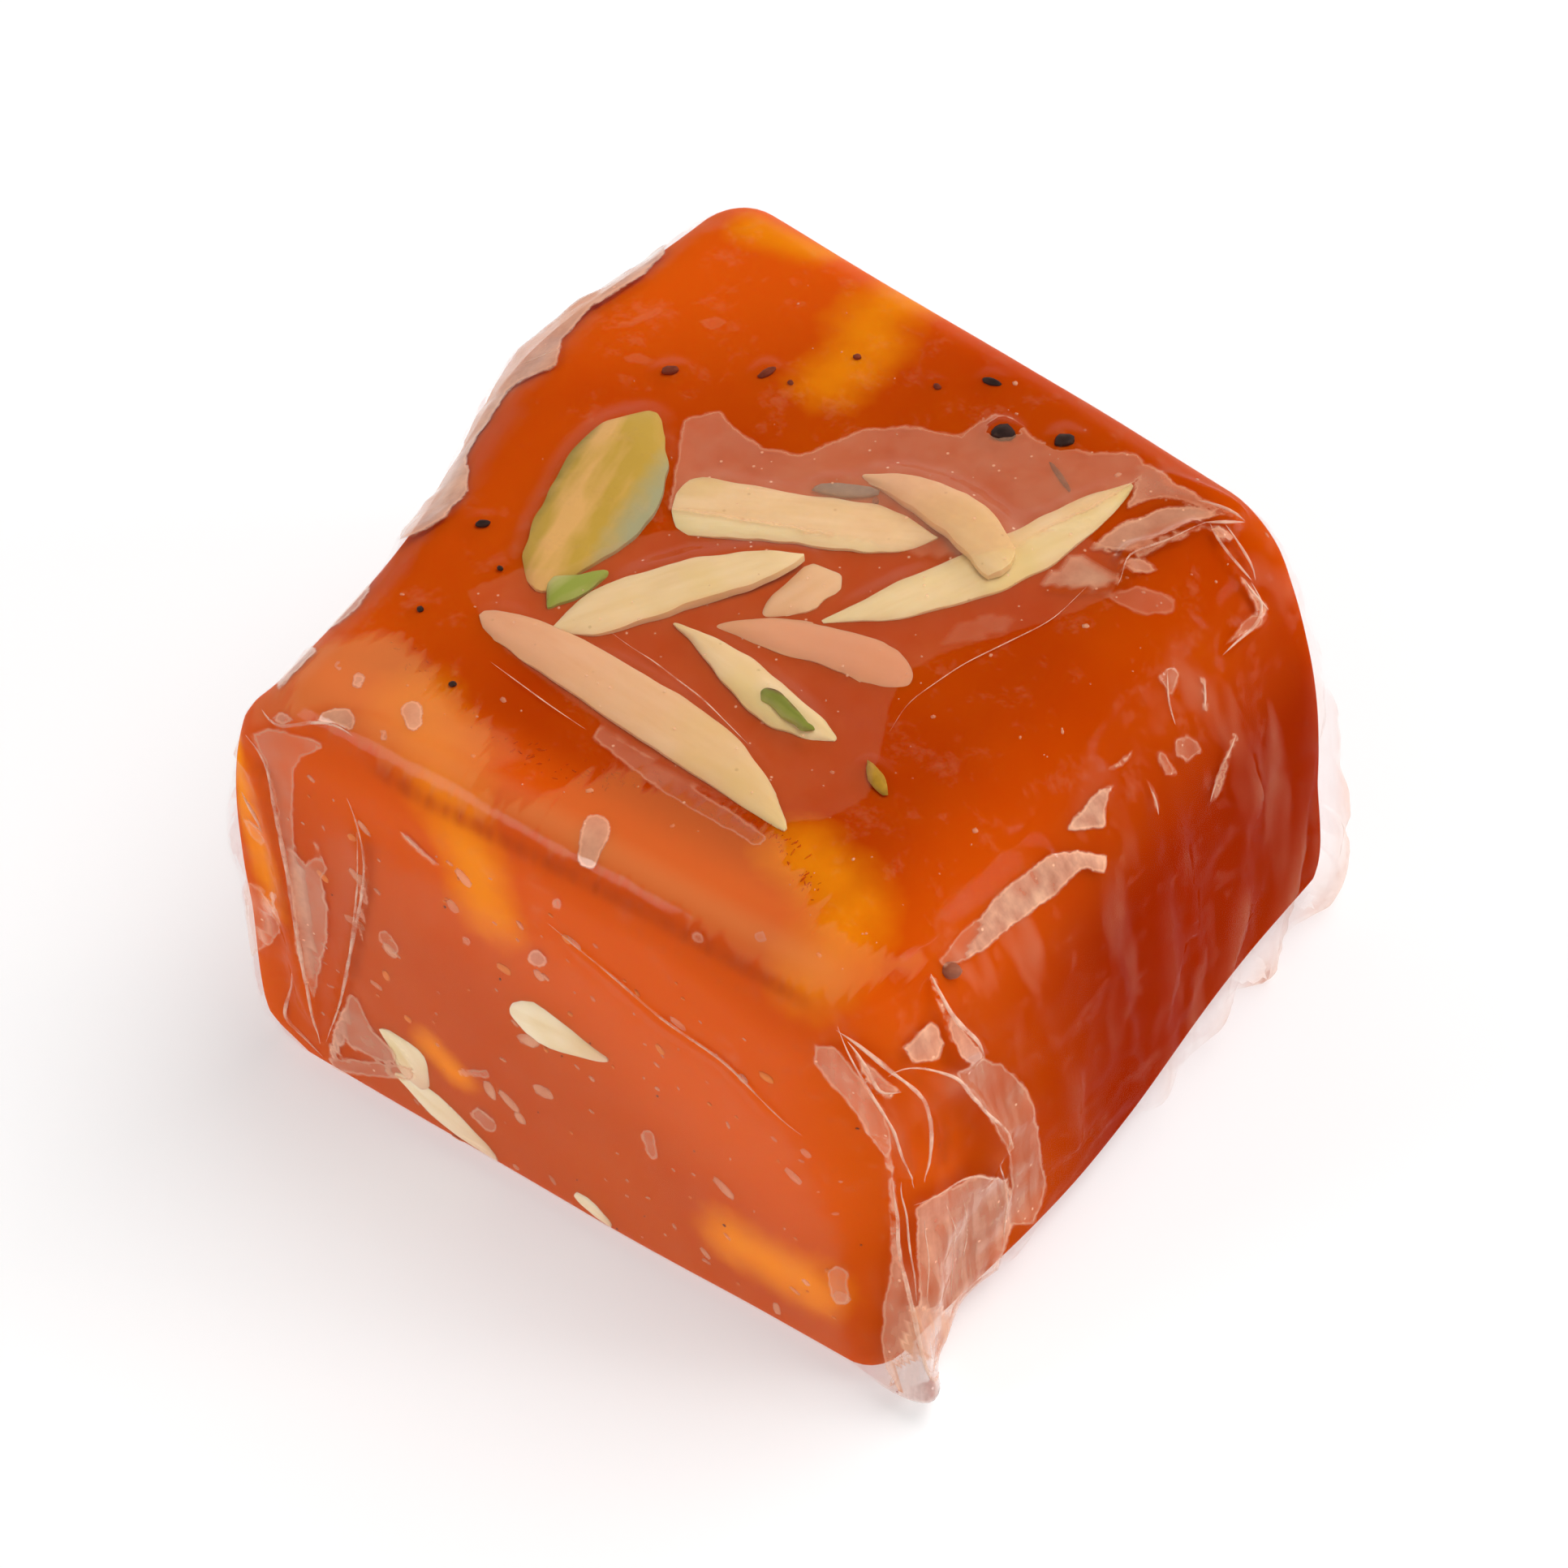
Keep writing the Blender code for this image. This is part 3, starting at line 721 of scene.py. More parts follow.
for line, height, left_width, right_width in FOLDS_THAT_SHOW:
    lift += fold(sheet, out, laid_on(smooth_tree, line), height, left_width, right_width)
for line, height, left_width, right_width in FOLDS_OF_THE_ENDS:
    lift += fold(sheet, out, line, height, left_width, right_width)
lift += lobe(sheet, CORNER_LOBE, LOBE_HEIGHT, LOBE_REACH)
print("film sheet:", len(film.data.polygons), "faces, folds up to", round(float(lift.max()), 2), "mm")

# %% [markdown]
# Over the nuts the film is a stretched skin: it touches their tops and slopes down beside them
# to where it clings again. That is found the way a draughtsman would sag a net. Heights on a fine
# grid start at the nuts and the halva, and each is drawn down towards the mean of its
# neighbours, but never below what lies under it.

# %% Stretch the film over the nuts
GRID, PULLS = 0.4, 160
grid_x, grid_y = np.arange(-26, 26, GRID), np.arange(-26, 28, GRID)
under = np.full((len(grid_x), len(grid_y)), -1.0)
for nut in [*almonds, *pistachios, *seeds, grey_bit, fleck]:
    nut_tree, low, high = surface_of(nut), places(nut).min(0), places(nut).max(0)
    for i in np.flatnonzero((grid_x > low[0] - GRID) & (grid_x < high[0] + GRID)):
        for j in np.flatnonzero((grid_y > low[1] - GRID) & (grid_y < high[1] + GRID)):
            hit = nut_tree.ray_cast(Vector((grid_x[i], grid_y[j], 50.0)), Vector((0, 0, -1)))[0]
            if hit:
                under[i, j] = max(under[i, j], hit.z)
nut_height = under.copy()
for axis in (0, 1):
    for step in (-1, 1):
        under = np.maximum(under, np.roll(under, step, axis))
flat_x, flat_y = np.meshgrid(grid_x, grid_y, indexing="ij")
net = np.column_stack((flat_x.ravel(), flat_y.ravel(), 0 * flat_x.ravel()))
bed = (TOP + FILM_ABOVE_HALVA + top_uneven(net)).reshape(flat_x.shape)
floor = np.maximum(bed, under + FILM_ABOVE_HALVA)
skin = floor.copy()
# How hard the film clings differs slowly from place to place.
cling = 0.022 + 0.012 * waves(net, 5.0, 3.0).reshape(flat_x.shape)
for _ in range(PULLS):
    around = sum(np.roll(skin, step, axis) for axis in (0, 1) for step in (-1, 1)) / 4
    skin = np.maximum(floor, around - cling)
print("film over the nuts: up to", round(float((skin - bed).max()), 2), "mm above the halva")


# %% Lay the film
def on_grid(values, points):
    """Values of the top's grid at these points, evenly between its lines."""
    i = np.clip((points[:, 0] - grid_x[0]) / GRID, 0, len(grid_x) - 1.001)
    j = np.clip((points[:, 1] - grid_y[0]) / GRID, 0, len(grid_y) - 1.001)
    a, b = i.astype(int), j.astype(int)
    s, t = i - a, j - b
    near = values[a, b] * (1 - t) + values[a, b + 1] * t
    return near * (1 - s) + (values[a + 1, b] * (1 - t) + values[a + 1, b + 1] * t) * s


sheet += out * lift[:, None]
sheet[:, 2] += on_grid(skin - bed, sheet) * smooth_step(out[:, 2], 0.8, 1.0)
# The film can touch the halva, but nowhere lie inside it.
CLINGS_AT = 0.1
for number, place in enumerate(sheet):
    spot, way_out = halva_tree.find_nearest(Vector(place))[:2]
    clearance = (Vector(place) - spot).dot(way_out)
    if clearance < CLINGS_AT:
        sheet[number] += np.array(way_out) * (CLINGS_AT - clearance)
sheet[:, 2] = np.maximum(sheet[:, 2], 0.0)
move_to(film, sheet)
bpy.ops.object.shade_smooth()
film_tree = surface_of(film, sheet)
print("film box in mm:", sheet.min(0).round(1), sheet.max(0).round(1))

# %% [markdown]
# Where the film touches the halva it is as good as invisible. Where air is caught under it, it
# turns pale, with a crisp, wavy border. The border is kept as a number at each vertex: how many
# millimetres a point lies inside the pocket of air. A second number says how pale the pocket is,
# because pleats and the tail are paler still.

# %% Inside an outline
def inside(points, outline):
    """How far each point lies inside a closed outline; negative outside."""
    outline = np.array(outline, float)
    within = np.zeros(len(points), bool)
    distance = np.full(len(points), np.inf)
    for a, b in zip(outline, np.roll(outline, -1, axis=0)):
        step = b - a
        t = np.clip((points - a) @ step / (step @ step), 0, 1)
        distance = np.minimum(distance, np.linalg.norm(points - a - t[:, None] * step, axis=1))
        crosses = (a[1] > points[:, 1]) != (b[1] > points[:, 1])
        with np.errstate(divide="ignore", invalid="ignore"):
            at = a[0] + (points[:, 1] - a[1]) * step[0] / step[1]
        within ^= crosses & (points[:, 0] < at)
    return np.where(within, distance, -distance)


# %% Pockets of air, outlined in the photograph's pixels
# Each has its paleness, from a faint haze to a patch that is a painted reflection, where film and halva
# nearly mirror.
HAZE, VEIL, PAINTED_GLARE, FOLDED = 0.14, 0.19, 0.58, 0.80
ON_THE_TOP = (
    (0.06, ((418, 721), (374, 739), (406, 786), (527, 877), (620, 922), (660, 919), (691, 902),
            (702, 865), (709, 828), (720, 805), (746, 791), (851, 758), (883, 745), (892, 716),
            (851, 692), (755, 692), (636, 697), (539, 691), (491, 702), (449, 723))),
    (0.15, ((748, 783), (764, 766), (785, 760), (809, 761), (798, 773))),
    (0.15, ((882, 742), (903, 737), (929, 745), (924, 760), (903, 758))),
    (0.22, ((547, 605), (574, 597), (586, 611), (608, 627), (639, 633), (688, 613), (722, 611),
            (765, 619), (777, 609), (790, 602), (808, 606), (821, 621), (863, 632), (901, 633),
            (914, 649), (868, 676), (806, 706), (747, 715), (679, 699), (534, 675))),
    (VEIL, ((483, 844), (616, 933), (605, 941), (533, 900), (474, 854))),
    (0.08, ((485, 534), (515, 520), (537, 514), (529, 523), (505, 533))),
    (0.08, ((557, 528), (573, 524), (581, 529), (570, 536))),
    (0.07, ((497, 557), (510, 551), (527, 559), (515, 564))),
)
LEFT_END = (
    (FOLDED, ((534, 456), (440, 519), (408, 551), (336, 650), (319, 698), (333, 697), (358, 681),
              (378, 661), (376, 635), (384, 616), (396, 602), (407, 583), (424, 571), (445, 564),
              (452, 542), (473, 517), (512, 493), (532, 475))),
    (0.5, ((224, 811), (248, 780), (259, 785), (225, 818))),
    (0.36, ((253, 770), (302, 727), (295, 746), (282, 760), (265, 770))),
    (0.6, ((255, 842), (262, 833), (270, 830), (283, 832), (287, 840), (284, 850), (278, 845))),
    (0.42, ((220, 840), (226, 834), (234, 835), (239, 841), (229, 845))),
    (0.26, ((203, 851), (218, 846), (267, 858), (263, 863), (246, 869), (239, 879), (239, 943),
            (249, 953), (256, 946), (252, 934), (258, 936), (266, 958), (261, 967), (267, 987),
            (266, 1009), (262, 1033), (253, 1067), (245, 1045), (239, 985), (229, 944), (222, 900),
            (214, 873))),
    (0.32, ((241, 951), (252, 956), (261, 963), (266, 987), (265, 1011), (253, 1059), (246, 1045),
            (241, 985))),
    (0.22, ((200, 967), (208, 969), (218, 979), (228, 994), (229, 1006), (222, 1016), (210, 1023),
            (200, 1033))),
    (0.22, ((197, 917), (207, 921), (214, 929), (217, 937), (213, 940), (206, 934))),
)
FRONT_RIGHT_CORNER = (
    (0.34, ((650, 1094), (667, 1096), (675, 1104), (704, 1144), (710, 1163), (715, 1234), (724, 1288),
            (734, 1329), (732, 1371), (717, 1368), (702, 1336), (704, 1292), (710, 1273), (708, 1205),
            (705, 1184), (674, 1138), (648, 1108))),
    (PAINTED_GLARE, ((677, 1094), (708, 1123), (718, 1130), (708, 1138), (697, 1130), (686, 1113))),
    (PAINTED_GLARE, ((718, 1096), (728, 1089), (740, 1075), (747, 1079), (752, 1093), (747, 1106), (727, 1109))),
    (0.5, ((741, 1039), (753, 1065), (783, 1103), (780, 1116), (764, 1103), (746, 1062))),
    (0.28, ((779, 1103), (797, 1109), (813, 1124), (822, 1141), (832, 1204), (822, 1234), (798, 1234),
            (803, 1204), (802, 1180), (785, 1151), (758, 1115), (770, 1112))),
    (0.42, ((729, 1222), (740, 1213), (779, 1194), (800, 1199), (805, 1234), (794, 1267), (767, 1308),
            (746, 1306), (732, 1300))),
    (FOLDED, ((728, 1296), (764, 1305), (772, 1345), (746, 1350), (727, 1341), (720, 1330))),
    (0.92, ((711, 1344), (732, 1337), (772, 1341), (775, 1412), (732, 1413), (715, 1371))),
)
RIGHT_UPPER_EDGE = (
    (PAINTED_GLARE, ((762, 1020), (772, 1004), (796, 974), (835, 945), (851, 942), (861, 945), (879, 946),
             (876, 960), (861, 957), (851, 964), (835, 980), (798, 1006), (785, 1020), (770, 1027))),
    (VEIL, ((746, 1028), (762, 1009), (780, 993), (785, 1012), (770, 1027), (751, 1035))),
    (PAINTED_GLARE, ((845, 926), (873, 895), (883, 891), (878, 908), (877, 924), (848, 929))),
    (0.35, ((879, 880), (898, 864), (896, 872), (885, 880))),
    (0.26, ((915, 807), (928, 800), (935, 803), (931, 820), (926, 828), (922, 816))),
    (0.3, ((950, 808), (955, 810), (955, 823), (958, 837), (952, 833))),
    (0.24, ((931, 858), (940, 851), (948, 858), (954, 869), (946, 869), (940, 875), (931, 869))),
    (0.26, ((914, 865), (923, 866), (933, 884), (922, 884))),
    (0.24, ((976, 846), (980, 856), (974, 869), (971, 884), (965, 900), (956, 910))),
    (0.24, ((909, 886), (917, 901), (922, 921), (914, 908))),
)
TUCKED_CORNER = (
    (0.52, ((864, 709), (877, 696), (890, 688), (922, 676), (940, 674), (958, 677), (973, 682),
            (940, 689), (922, 696), (896, 710))),
    (0.34, ((892, 678), (901, 660), (903, 642), (913, 642), (932, 657), (953, 669), (972, 677),
            (983, 686), (928, 669), (910, 670))),
    (0.26, ((895, 714), (904, 707), (922, 698), (958, 688), (959, 691), (908, 713))),
    (0.5, ((825, 736), (848, 716), (858, 711), (891, 733), (871, 738), (851, 739))),
    (0.42, ((890, 717), (901, 715), (913, 720), (919, 725), (908, 728), (896, 726))),
    (HAZE, ((864, 740), (908, 744), (918, 751), (932, 744), (929, 758), (905, 761))),
    (0.42, ((958, 690), (967, 690), (978, 699), (973, 703), (968, 699), (965, 702))),
    (0.42, ((982, 731), (992, 738), (1003, 754), (1001, 763), (994, 759))),
    (0.24, ((993, 756), (1004, 762), (998, 769), (968, 784))),
)
BAND = (
    (254, 780), (297, 769), (319, 773), (349, 802), (351, 816), (392, 837), (400, 850), (385, 894),
    (407, 905), (433, 905), (467, 886), (491, 876), (527, 889), (576, 909), (624, 934), (648, 972),
    (666, 1008), (696, 1020), (732, 1020), (741, 1028), (726, 1040), (696, 1045), (666, 1064),
    (612, 1038), (576, 1014), (515, 978), (419, 930), (364, 906), (303, 870), (279, 852), (255, 845),
    (231, 845), (229, 822),
)
LOWER_FRONT = (
    (292, 1135), (253, 915), (338, 955), (434, 1008), (526, 1080), (576, 1112), (637, 1170), (673, 1240),
    (680, 1363),
)

# %% Small bubbles pressed flat under the film, and painted highlights
# Lines of the photograph's pixels, each with its half width there, after the paleness.
BUBBLES_AND_PAINTED_HIGHLIGHTS = (
    (0.58, ((289, 812, 4), (290, 808, 5))), (0.6, ((332, 834, 9), (334, 842, 7))),
    # The next three lines, and the first entry on the line after them, are painted highlights along the laps
    # down the front left corner.
    (0.55, ((238, 945, 3), (243, 976, 6), (247, 1015, 7), (250, 1050, 3))),
    (0.55, ((284, 1060, 3), (276, 1087, 6), (269, 1106, 3))),
    (0.5, ((221, 978, 3), (217, 1000, 5), (214, 1012, 3))),
    (0.45, ((293, 940, 2), (295, 976, 4), (292, 1015, 2))), (0.61, ((478, 926, 12), (472, 948, 9))),
    (0.3, ((668, 1275, 9), (670, 1290, 8))), (0.45, ((431, 1027, 7), (434, 1029, 6))),
    (0.25, ((310, 1010, 5), (318, 1020, 5))), (0.3, ((385, 1150, 6), (395, 1158, 6))),
    (0.25, ((375, 1013, 4), (377, 1015, 4))), (0.25, ((447, 985, 5), (448, 987, 4))),
    (0.3, ((519, 1165, 6), (524, 1180, 5))), (0.3, ((608, 1010, 5), (610, 1012, 4))),
    (0.25, ((372, 1117, 3), (392, 1118, 4))), (0.3, ((325, 930, 2), (352, 955, 2))),
    (0.3, ((275, 1112, 6), (330, 1118, 6))), (0.35, ((285, 1062, 6), (290, 1088, 12), (315, 1106, 6))),
    (0.5, ((309, 850, 3), (310, 854, 3))), (0.4, ((273, 796, 3), (274, 799, 3))),
    (0.25, ((558, 1010, 4), (560, 1012, 4))),
)


def off_line(pixels, line):
    """How far each pixel lies from a line of pixels, and the share of the line at which it does."""
    flat, line = np.column_stack((pixels, 0 * pixels[:, 0])), np.array(line, float)
    line = np.column_stack((line[:, :2], 0 * line[:, 0]))
    distance, share, _ = by_line(flat, flat, line)
    return distance, share


def pressed(pixels, line):
    """How far each pixel lies inside a line of air with a half width at each of its points."""
    distance, share = off_line(pixels, line)
    line = np.array(line, float)
    steps = np.concatenate(([0], np.cumsum(np.linalg.norm(np.diff(line[:, :2], axis=0), axis=1))))
    return np.interp(share, steps / steps[-1], line[:, 2]) - distance


# %% Soft lines: the band's ridge with its painted highlight, and painted shade in the valleys between folds
BAND_RIDGE_HIGHLIGHT = ((250, 838), (295, 842), (322, 854), (636, 1024), (669, 1040), (700, 1034))
BAND_LEFT_HIGHLIGHT = (
    (200, 822), (218, 804), (254, 780), (309, 770), (346, 794), (352, 816), (370, 840), (407, 850),
    (419, 870), (394, 882), (309, 840), (267, 830), (206, 846),
)
# Each valley of painted shade has its half width in millimetres. The first lies along the band's foot.
CREASE_SHADES = (
    (((284, 862), (303, 878), (346, 905), (528, 997), (666, 1074)), 0.75),
    (((858, 711), (890, 733), (895, 728), (891, 720), (892, 711), (902, 707), (919, 697), (936, 690),
      (958, 687)), 0.6),
    (((891, 683), (901, 677), (916, 671), (934, 670), (955, 674), (972, 681), (946, 688)), 0.55),
    (((827, 739), (851, 741), (872, 740), (894, 734)), 0.5),
    (((209, 864), (219, 906), (230, 967), (243, 1035)), 0.8),
    (((296, 930), (297, 955), (294, 985), (281, 1051)), 0.8),
    (((704, 1142), (715, 1161), (728, 1196)), 0.6),
    (((728, 1115), (746, 1141), (753, 1163), (753, 1193)), 0.6),
)


def softly(pixels, line, width):
    """1 along a line of pixels, falling to 0 within this many millimetres and at its two ends."""
    distance, share = off_line(pixels, line)
    ends = smooth_step(share, 0.0, 0.12) * smooth_step(1 - share, 0.0, 0.12)
    return ends * (1 - smooth_step(distance / PIXELS_PER_MM, 0.05, width))


# %% Where air is caught
FAR_OUT, RIDGE_WIDTH = -9.0, 1.5
pixels = shown_at(sheet)
# A place counts only on the side of the film that the photograph shows, and fades round its edge.
facing = (out * (STATION - sheet)).sum(1) / np.linalg.norm(STATION - sheet, axis=1)
unseen = np.where(facing > -0.5, -3 * smooth_step(-facing, 0.1, 0.5), FAR_OUT)
air, paleness = np.full(len(sheet), FAR_OUT), np.full(len(sheet), VEIL)
pockets = [*ON_THE_TOP, *LEFT_END, *FRONT_RIGHT_CORNER, *RIGHT_UPPER_EDGE, *TUCKED_CORNER]
pockets = [(pale_share, inside(pixels, outline)) for pale_share, outline in pockets]
pockets += [(pale_share, pressed(pixels, line)) for pale_share, line in BUBBLES_AND_PAINTED_HIGHLIGHTS]
for pale_share, depth in pockets:
    depth = depth / PIXELS_PER_MM + unseen
    paleness = np.where((depth > air) | ((depth > 0) & (pale_share > paleness)), pale_share, paleness)
    air = np.maximum(air, depth)
band = inside(pixels, BAND) / PIXELS_PER_MM + unseen
front_haze = inside(pixels, LOWER_FRONT) / PIXELS_PER_MM + np.where(out[:, 1] < -0.5, 0.0, FAR_OUT)
shown = facing > 0
crease_shade = shown * np.maximum.reduce([softly(pixels, line, width) for line, width in CREASE_SHADES])
# The band's ridge and its left part carry a painted highlight.
ridge_highlight = softly(pixels, BAND_RIDGE_HIGHLIGHT, RIDGE_WIDTH)
ridge_highlight = shown * np.maximum(ridge_highlight, smooth_step(inside(pixels, BAND_LEFT_HIGHLIGHT), -4.0, 8.0))
print("pockets of air:", len(pockets))

# %% Air beside the nuts and in the gathered ends
gap = np.array([halva_tree.find_nearest(Vector(p))[3] for p in sheet])
# Two seeds are large enough to touch the film, so no air lies over them.
for seed in seeds[:2]:
    to_seed = np.linalg.norm(sheet - places(seed).mean(axis=0), axis=1)
    air -= 3 * (1 - smooth_step(to_seed, 0.7, 1.05))
over_nut = on_grid(nut_height, sheet)
beside_nut = (out[:, 2] > 0.8) & (over_nut < 0)
wedge = np.where(beside_nut, 1.5 * (gap - 0.95), -4.0)
paleness = np.where(wedge > air, VEIL, paleness)
air = np.maximum(air, wedge)
FOR_THE_MATERIAL = {
    "air": np.clip(air, -4, 4), "band": np.clip(band, -4, 4), "front_haze": np.clip(front_haze, -4, 4),
    "paleness": paleness, "crease_shade": crease_shade, "ridge_highlight": ridge_highlight, "right_end": smooth_step(out[:, 0], 0.1, 0.8),
    "loose": smooth_step(abs(across), 0.8, 0.92) * smooth_step(gap, 0.7, 2.6),
}
for name, values in FOR_THE_MATERIAL.items():
    write_down(film, name, values)
print("film in the clear:", round(100 * float((air < 0).mean())), "% of its points")

# %% [markdown]
# Where film is folded double it is paler, and its hard, bright line is partly a painted highlight.
# Such a line is a round bead that is half sunk in the sheet: a curve with a small bevel, which is
# thin at both ends, made a mesh.

# %% Hard creases
# Each line of the photograph's pixels has the bead's half thickness in millimetres.
BRIGHT_CREASES = (
    (LAP, 0.16), (SECOND_LAP, 0.12),
    (((289, 928), (290, 949), (289, 979), (281, 1045), (271, 1079)), 0.08),
    (((213, 832), (224, 847), (251, 842), (265, 842), (278, 846), (285, 853)), 0.11),
    (((197, 897), (203, 908), (211, 921), (213, 928)), 0.1), (((200, 916), (207, 924), (214, 929)), 0.07),
    (((205, 1052), (230, 1075), (262, 1105)), 0.12),
    (((419, 561), (430, 556), (442, 553), (451, 548)), 0.06), (SLACK, 0.08),
    (((323, 928), (336, 940), (355, 955)), 0.1), (CORNER_EDGE, 0.09), (TAIL_EDGE, 0.14), (HOOD, 0.13),
    (BLADE, 0.15), (SHOULDER, 0.13), (((676, 1092), (690, 1110), (703, 1137), (718, 1131)), 0.11),
    (((672, 1086), (690, 1099), (712, 1117), (730, 1130)), 0.14),
    (((718, 1201), (723, 1234), (728, 1270), (730, 1294)), 0.07),
    (((728, 1219), (758, 1203), (779, 1194), (798, 1199)), 0.07),
    (((798, 1182), (801, 1204), (798, 1234), (794, 1264)), 0.06),
    (((732, 1334), (720, 1332), (713, 1339), (717, 1351), (736, 1379)), 0.07),
    (((735, 1334), (739, 1353), (745, 1371), (752, 1385)), 0.07),
    (((736, 1230), (740, 1262), (738, 1300)), 0.05), (((752, 1215), (760, 1250), (757, 1290)), 0.05),
    (((766, 1212), (770, 1240), (765, 1280)), 0.04), (STAR_LONG, 0.07), (STAR_OUT, 0.1), (STAR_SIDE, 0.1),
    (((949, 671), (967, 675), (978, 680), (985, 687)), 0.11),
    (((953, 688), (970, 688), (985, 688)), 0.11),
    (((970, 690), (979, 700), (987, 717), (993, 733)), 0.09),
    (((984, 732), (992, 744), (1003, 756)), 0.09), (((925, 804), (924, 828), (931, 845)), 0.06),
    (((953, 808), (954, 832)), 0.08), (((978, 853), (966, 880), (958, 905)), 0.08),
    (((911, 893), (918, 915)), 0.07),
    (((862, 738), (835, 764), (765, 798), (722, 828), (709, 850)), 0.035),
    (((395, 795), (440, 828), (470, 848)), 0.035),
    (((490, 772), (520, 792), (560, 822), (600, 862)), 0.045),
)


def beads(name, creases):
    """One piece of round beads, half sunk in the film, each thin at both ends."""
    deselect()
    bpy.ops.curve.primitive_nurbs_path_add()
    piece = named(name)
    piece.data.splines.clear()
    piece.data.dimensions = "3D"
    piece.data.bevel_depth, piece.data.bevel_resolution, piece.data.use_fill_caps = MM, 1, True
    for line, radius in creases:
        line = laid_on(film_tree, line)
        steps = np.concatenate(([0], np.cumsum(np.linalg.norm(np.diff(line, axis=0), axis=1))))
        count = max(5, int(steps[-1] / 0.45))
        even = np.linspace(0, steps[-1], count)
        spots = np.column_stack([np.interp(even, steps, line[:, axis]) for axis in range(3)])
        for _ in range(4):
            spots = np.array([film_tree.find_nearest(Vector(spot))[0] for spot in spots])
            spots[1:-1] = (spots[:-2] + 2 * spots[1:-1] + spots[2:]) / 4
        spline = piece.data.splines.new("POLY")
        spline.points.add(count - 1)
        for number, spot in enumerate(spots):
            share = number / (count - 1)
            thick = 0.1 + 0.9 * math.sin(math.pi * share) ** 0.8
            spline.points[number].co = (*(spot * MM), 1.0)
            spline.points[number].radius = radius * thick * (1 + 0.4 * noise.noise(Vector(spot)))
    bpy.ops.object.convert(target="MESH")
    bpy.ops.object.shade_smooth()
    return bpy.context.object


creases = beads("film_crease_highlights", BRIGHT_CREASES)
print("creases:", len(BRIGHT_CREASES))

# %% [markdown]
# ## Materials
# A colour is picked as an sRGB hex value, as in any paint program, and Blender wants it linear.
# One function turns it, and one adds a node with its settings and its links.

# %% Helpers for materials
def colour(hex_value):
    """An sRGB hex colour as the linear colour that a shader takes."""
    shares = [int(hex_value[i : i + 2], 16) / 255 for i in (1, 3, 5)]
    return (*(s / 12.92 if s <= 0.04045 else ((s + 0.055) / 1.055) ** 2.4 for s in shares), 1.0)


def node(tree, kind, inputs=(), output=0, **settings):
    """Adds a node, feeds its inputs in turn or by name, and gives back one of its outputs."""
    made = tree.nodes.new("ShaderNode" + kind)
    for setting, value in settings.items():
        setattr(made, setting, value)
    for key, value in inputs.items() if isinstance(inputs, dict) else enumerate(inputs):
        if isinstance(value, bpy.types.NodeSocket):
            tree.links.new(value, made.inputs[key])
        else:
            made.inputs[key].default_value = colour(value) if isinstance(value, str) else value
    return made.outputs[output] if made.outputs else None


def new_material(name):
    """An empty material, its node tree, and the place in the piece that its patterns start from."""
    material = bpy.data.materials.new(name)
    material.use_nodes = True
    material.node_tree.nodes.clear()
    return material, material.node_tree, node(material.node_tree, "TexCoord", output="Object")


def per_mm(length):
    """A texture's scale for details of this length in millimetres."""
    return 1 / (length * MM)


# %% [markdown]
# ### Clear starch halva
# Cornflour halva is a clear gel, coloured with saffron and food colour. It is deep orange-red
# where it is thick, and yellow where a nut lies close under the surface and throws the light
# back. Those glows are worked out from where the sunk nuts lie. Lighter edges and front, and a
# darker foot of the right end, are painted light and painted shade.

# %% Glows of the sunk nuts
# Each glow runs along a line of places in millimetres, with its half width.
SUNK_NUTS = (
    (((-10.8, -18.6, 32.3), (-8.0, -20.4, 32.1), (-5.2, -22.3, 31.0), (-3.4, -23.3, 28.3),
      (-2.6, -23.6, 24.7)), 2.0),
    (((13.4, -15.2, 32.1), (15.6, -15.8, 32.2), (17.9, -16.9, 32.0), (18.4, -19.1, 31.6),
      (18.2, -20.6, 30.8)), 2.0),
    (((-7.2, 21.8, 32.0), (-7.6, 18.9, 32.0), (-6.2, 17.5, 32.0), (-6.4, 13.9, 32.0)), 2.0),
    (((13.9, -24.5, 7.3), (16.6, -24.6, 7.2), (18.8, -24.6, 7.2)), 2.2),
    (((-18.2, 21.5, 32.0), (-14.0, 22.4, 32.0)), 1.3),
    (((-7.9, -25.2, 9.7), (-6.3, -25.1, 8.5)), 1.2),
    (((-21.2, -23.5, 27.0), (-20.0, -23.9, 19.0), (-19.5, -24.4, 14.0)), 1.0),
)
glow = np.zeros(len(halva_places))
for line, radius in SUNK_NUTS:
    distance, _, _ = by_line(halva_places, halva_places, line)
    glow = np.maximum(glow, 1 - smooth_step(distance, 0.0, radius * 2.1))
write_down(halva, "glow", glow)
print("glows of sunk nuts:", len(SUNK_NUTS), "over", round(100 * float((glow > 0).mean())), "% of the points")

# %% Painted light and shade on the halva
# The colour is painted lighter where light comes in, at the edges and the front, as the number thin.
# It is painted darker at the foot of the right end, where least light reaches, as the number thick.
x, y, z = halva_places.T
to_back = 0.8 * smooth_step(y - x, 14.0, 36.0)
to_right = 0.4 * smooth_step(x, 15.0, 22.0) * smooth_step(z, 18.0, 29.0) * (1 - smooth_step(y, -12.0, 4.0))
to_left = 0.7 * smooth_step(-x, 8.0, 20.0) * smooth_step(-y, 8.0, 18.0)
left_half = 0.28 * smooth_step(-x, 4.0, 18.0)
front = 0.75 * smooth_step(-y, 16.0, 19.5) + 0.25 * smooth_step(-y, 21.5, 23.5)
front *= 0.38 + 0.62 * smooth_step(z + 0.45 * x, 12.0, 26.0)
painted_light_share = np.clip(np.maximum.reduce([to_back, to_right, to_left, left_half, front]), 0, 1)
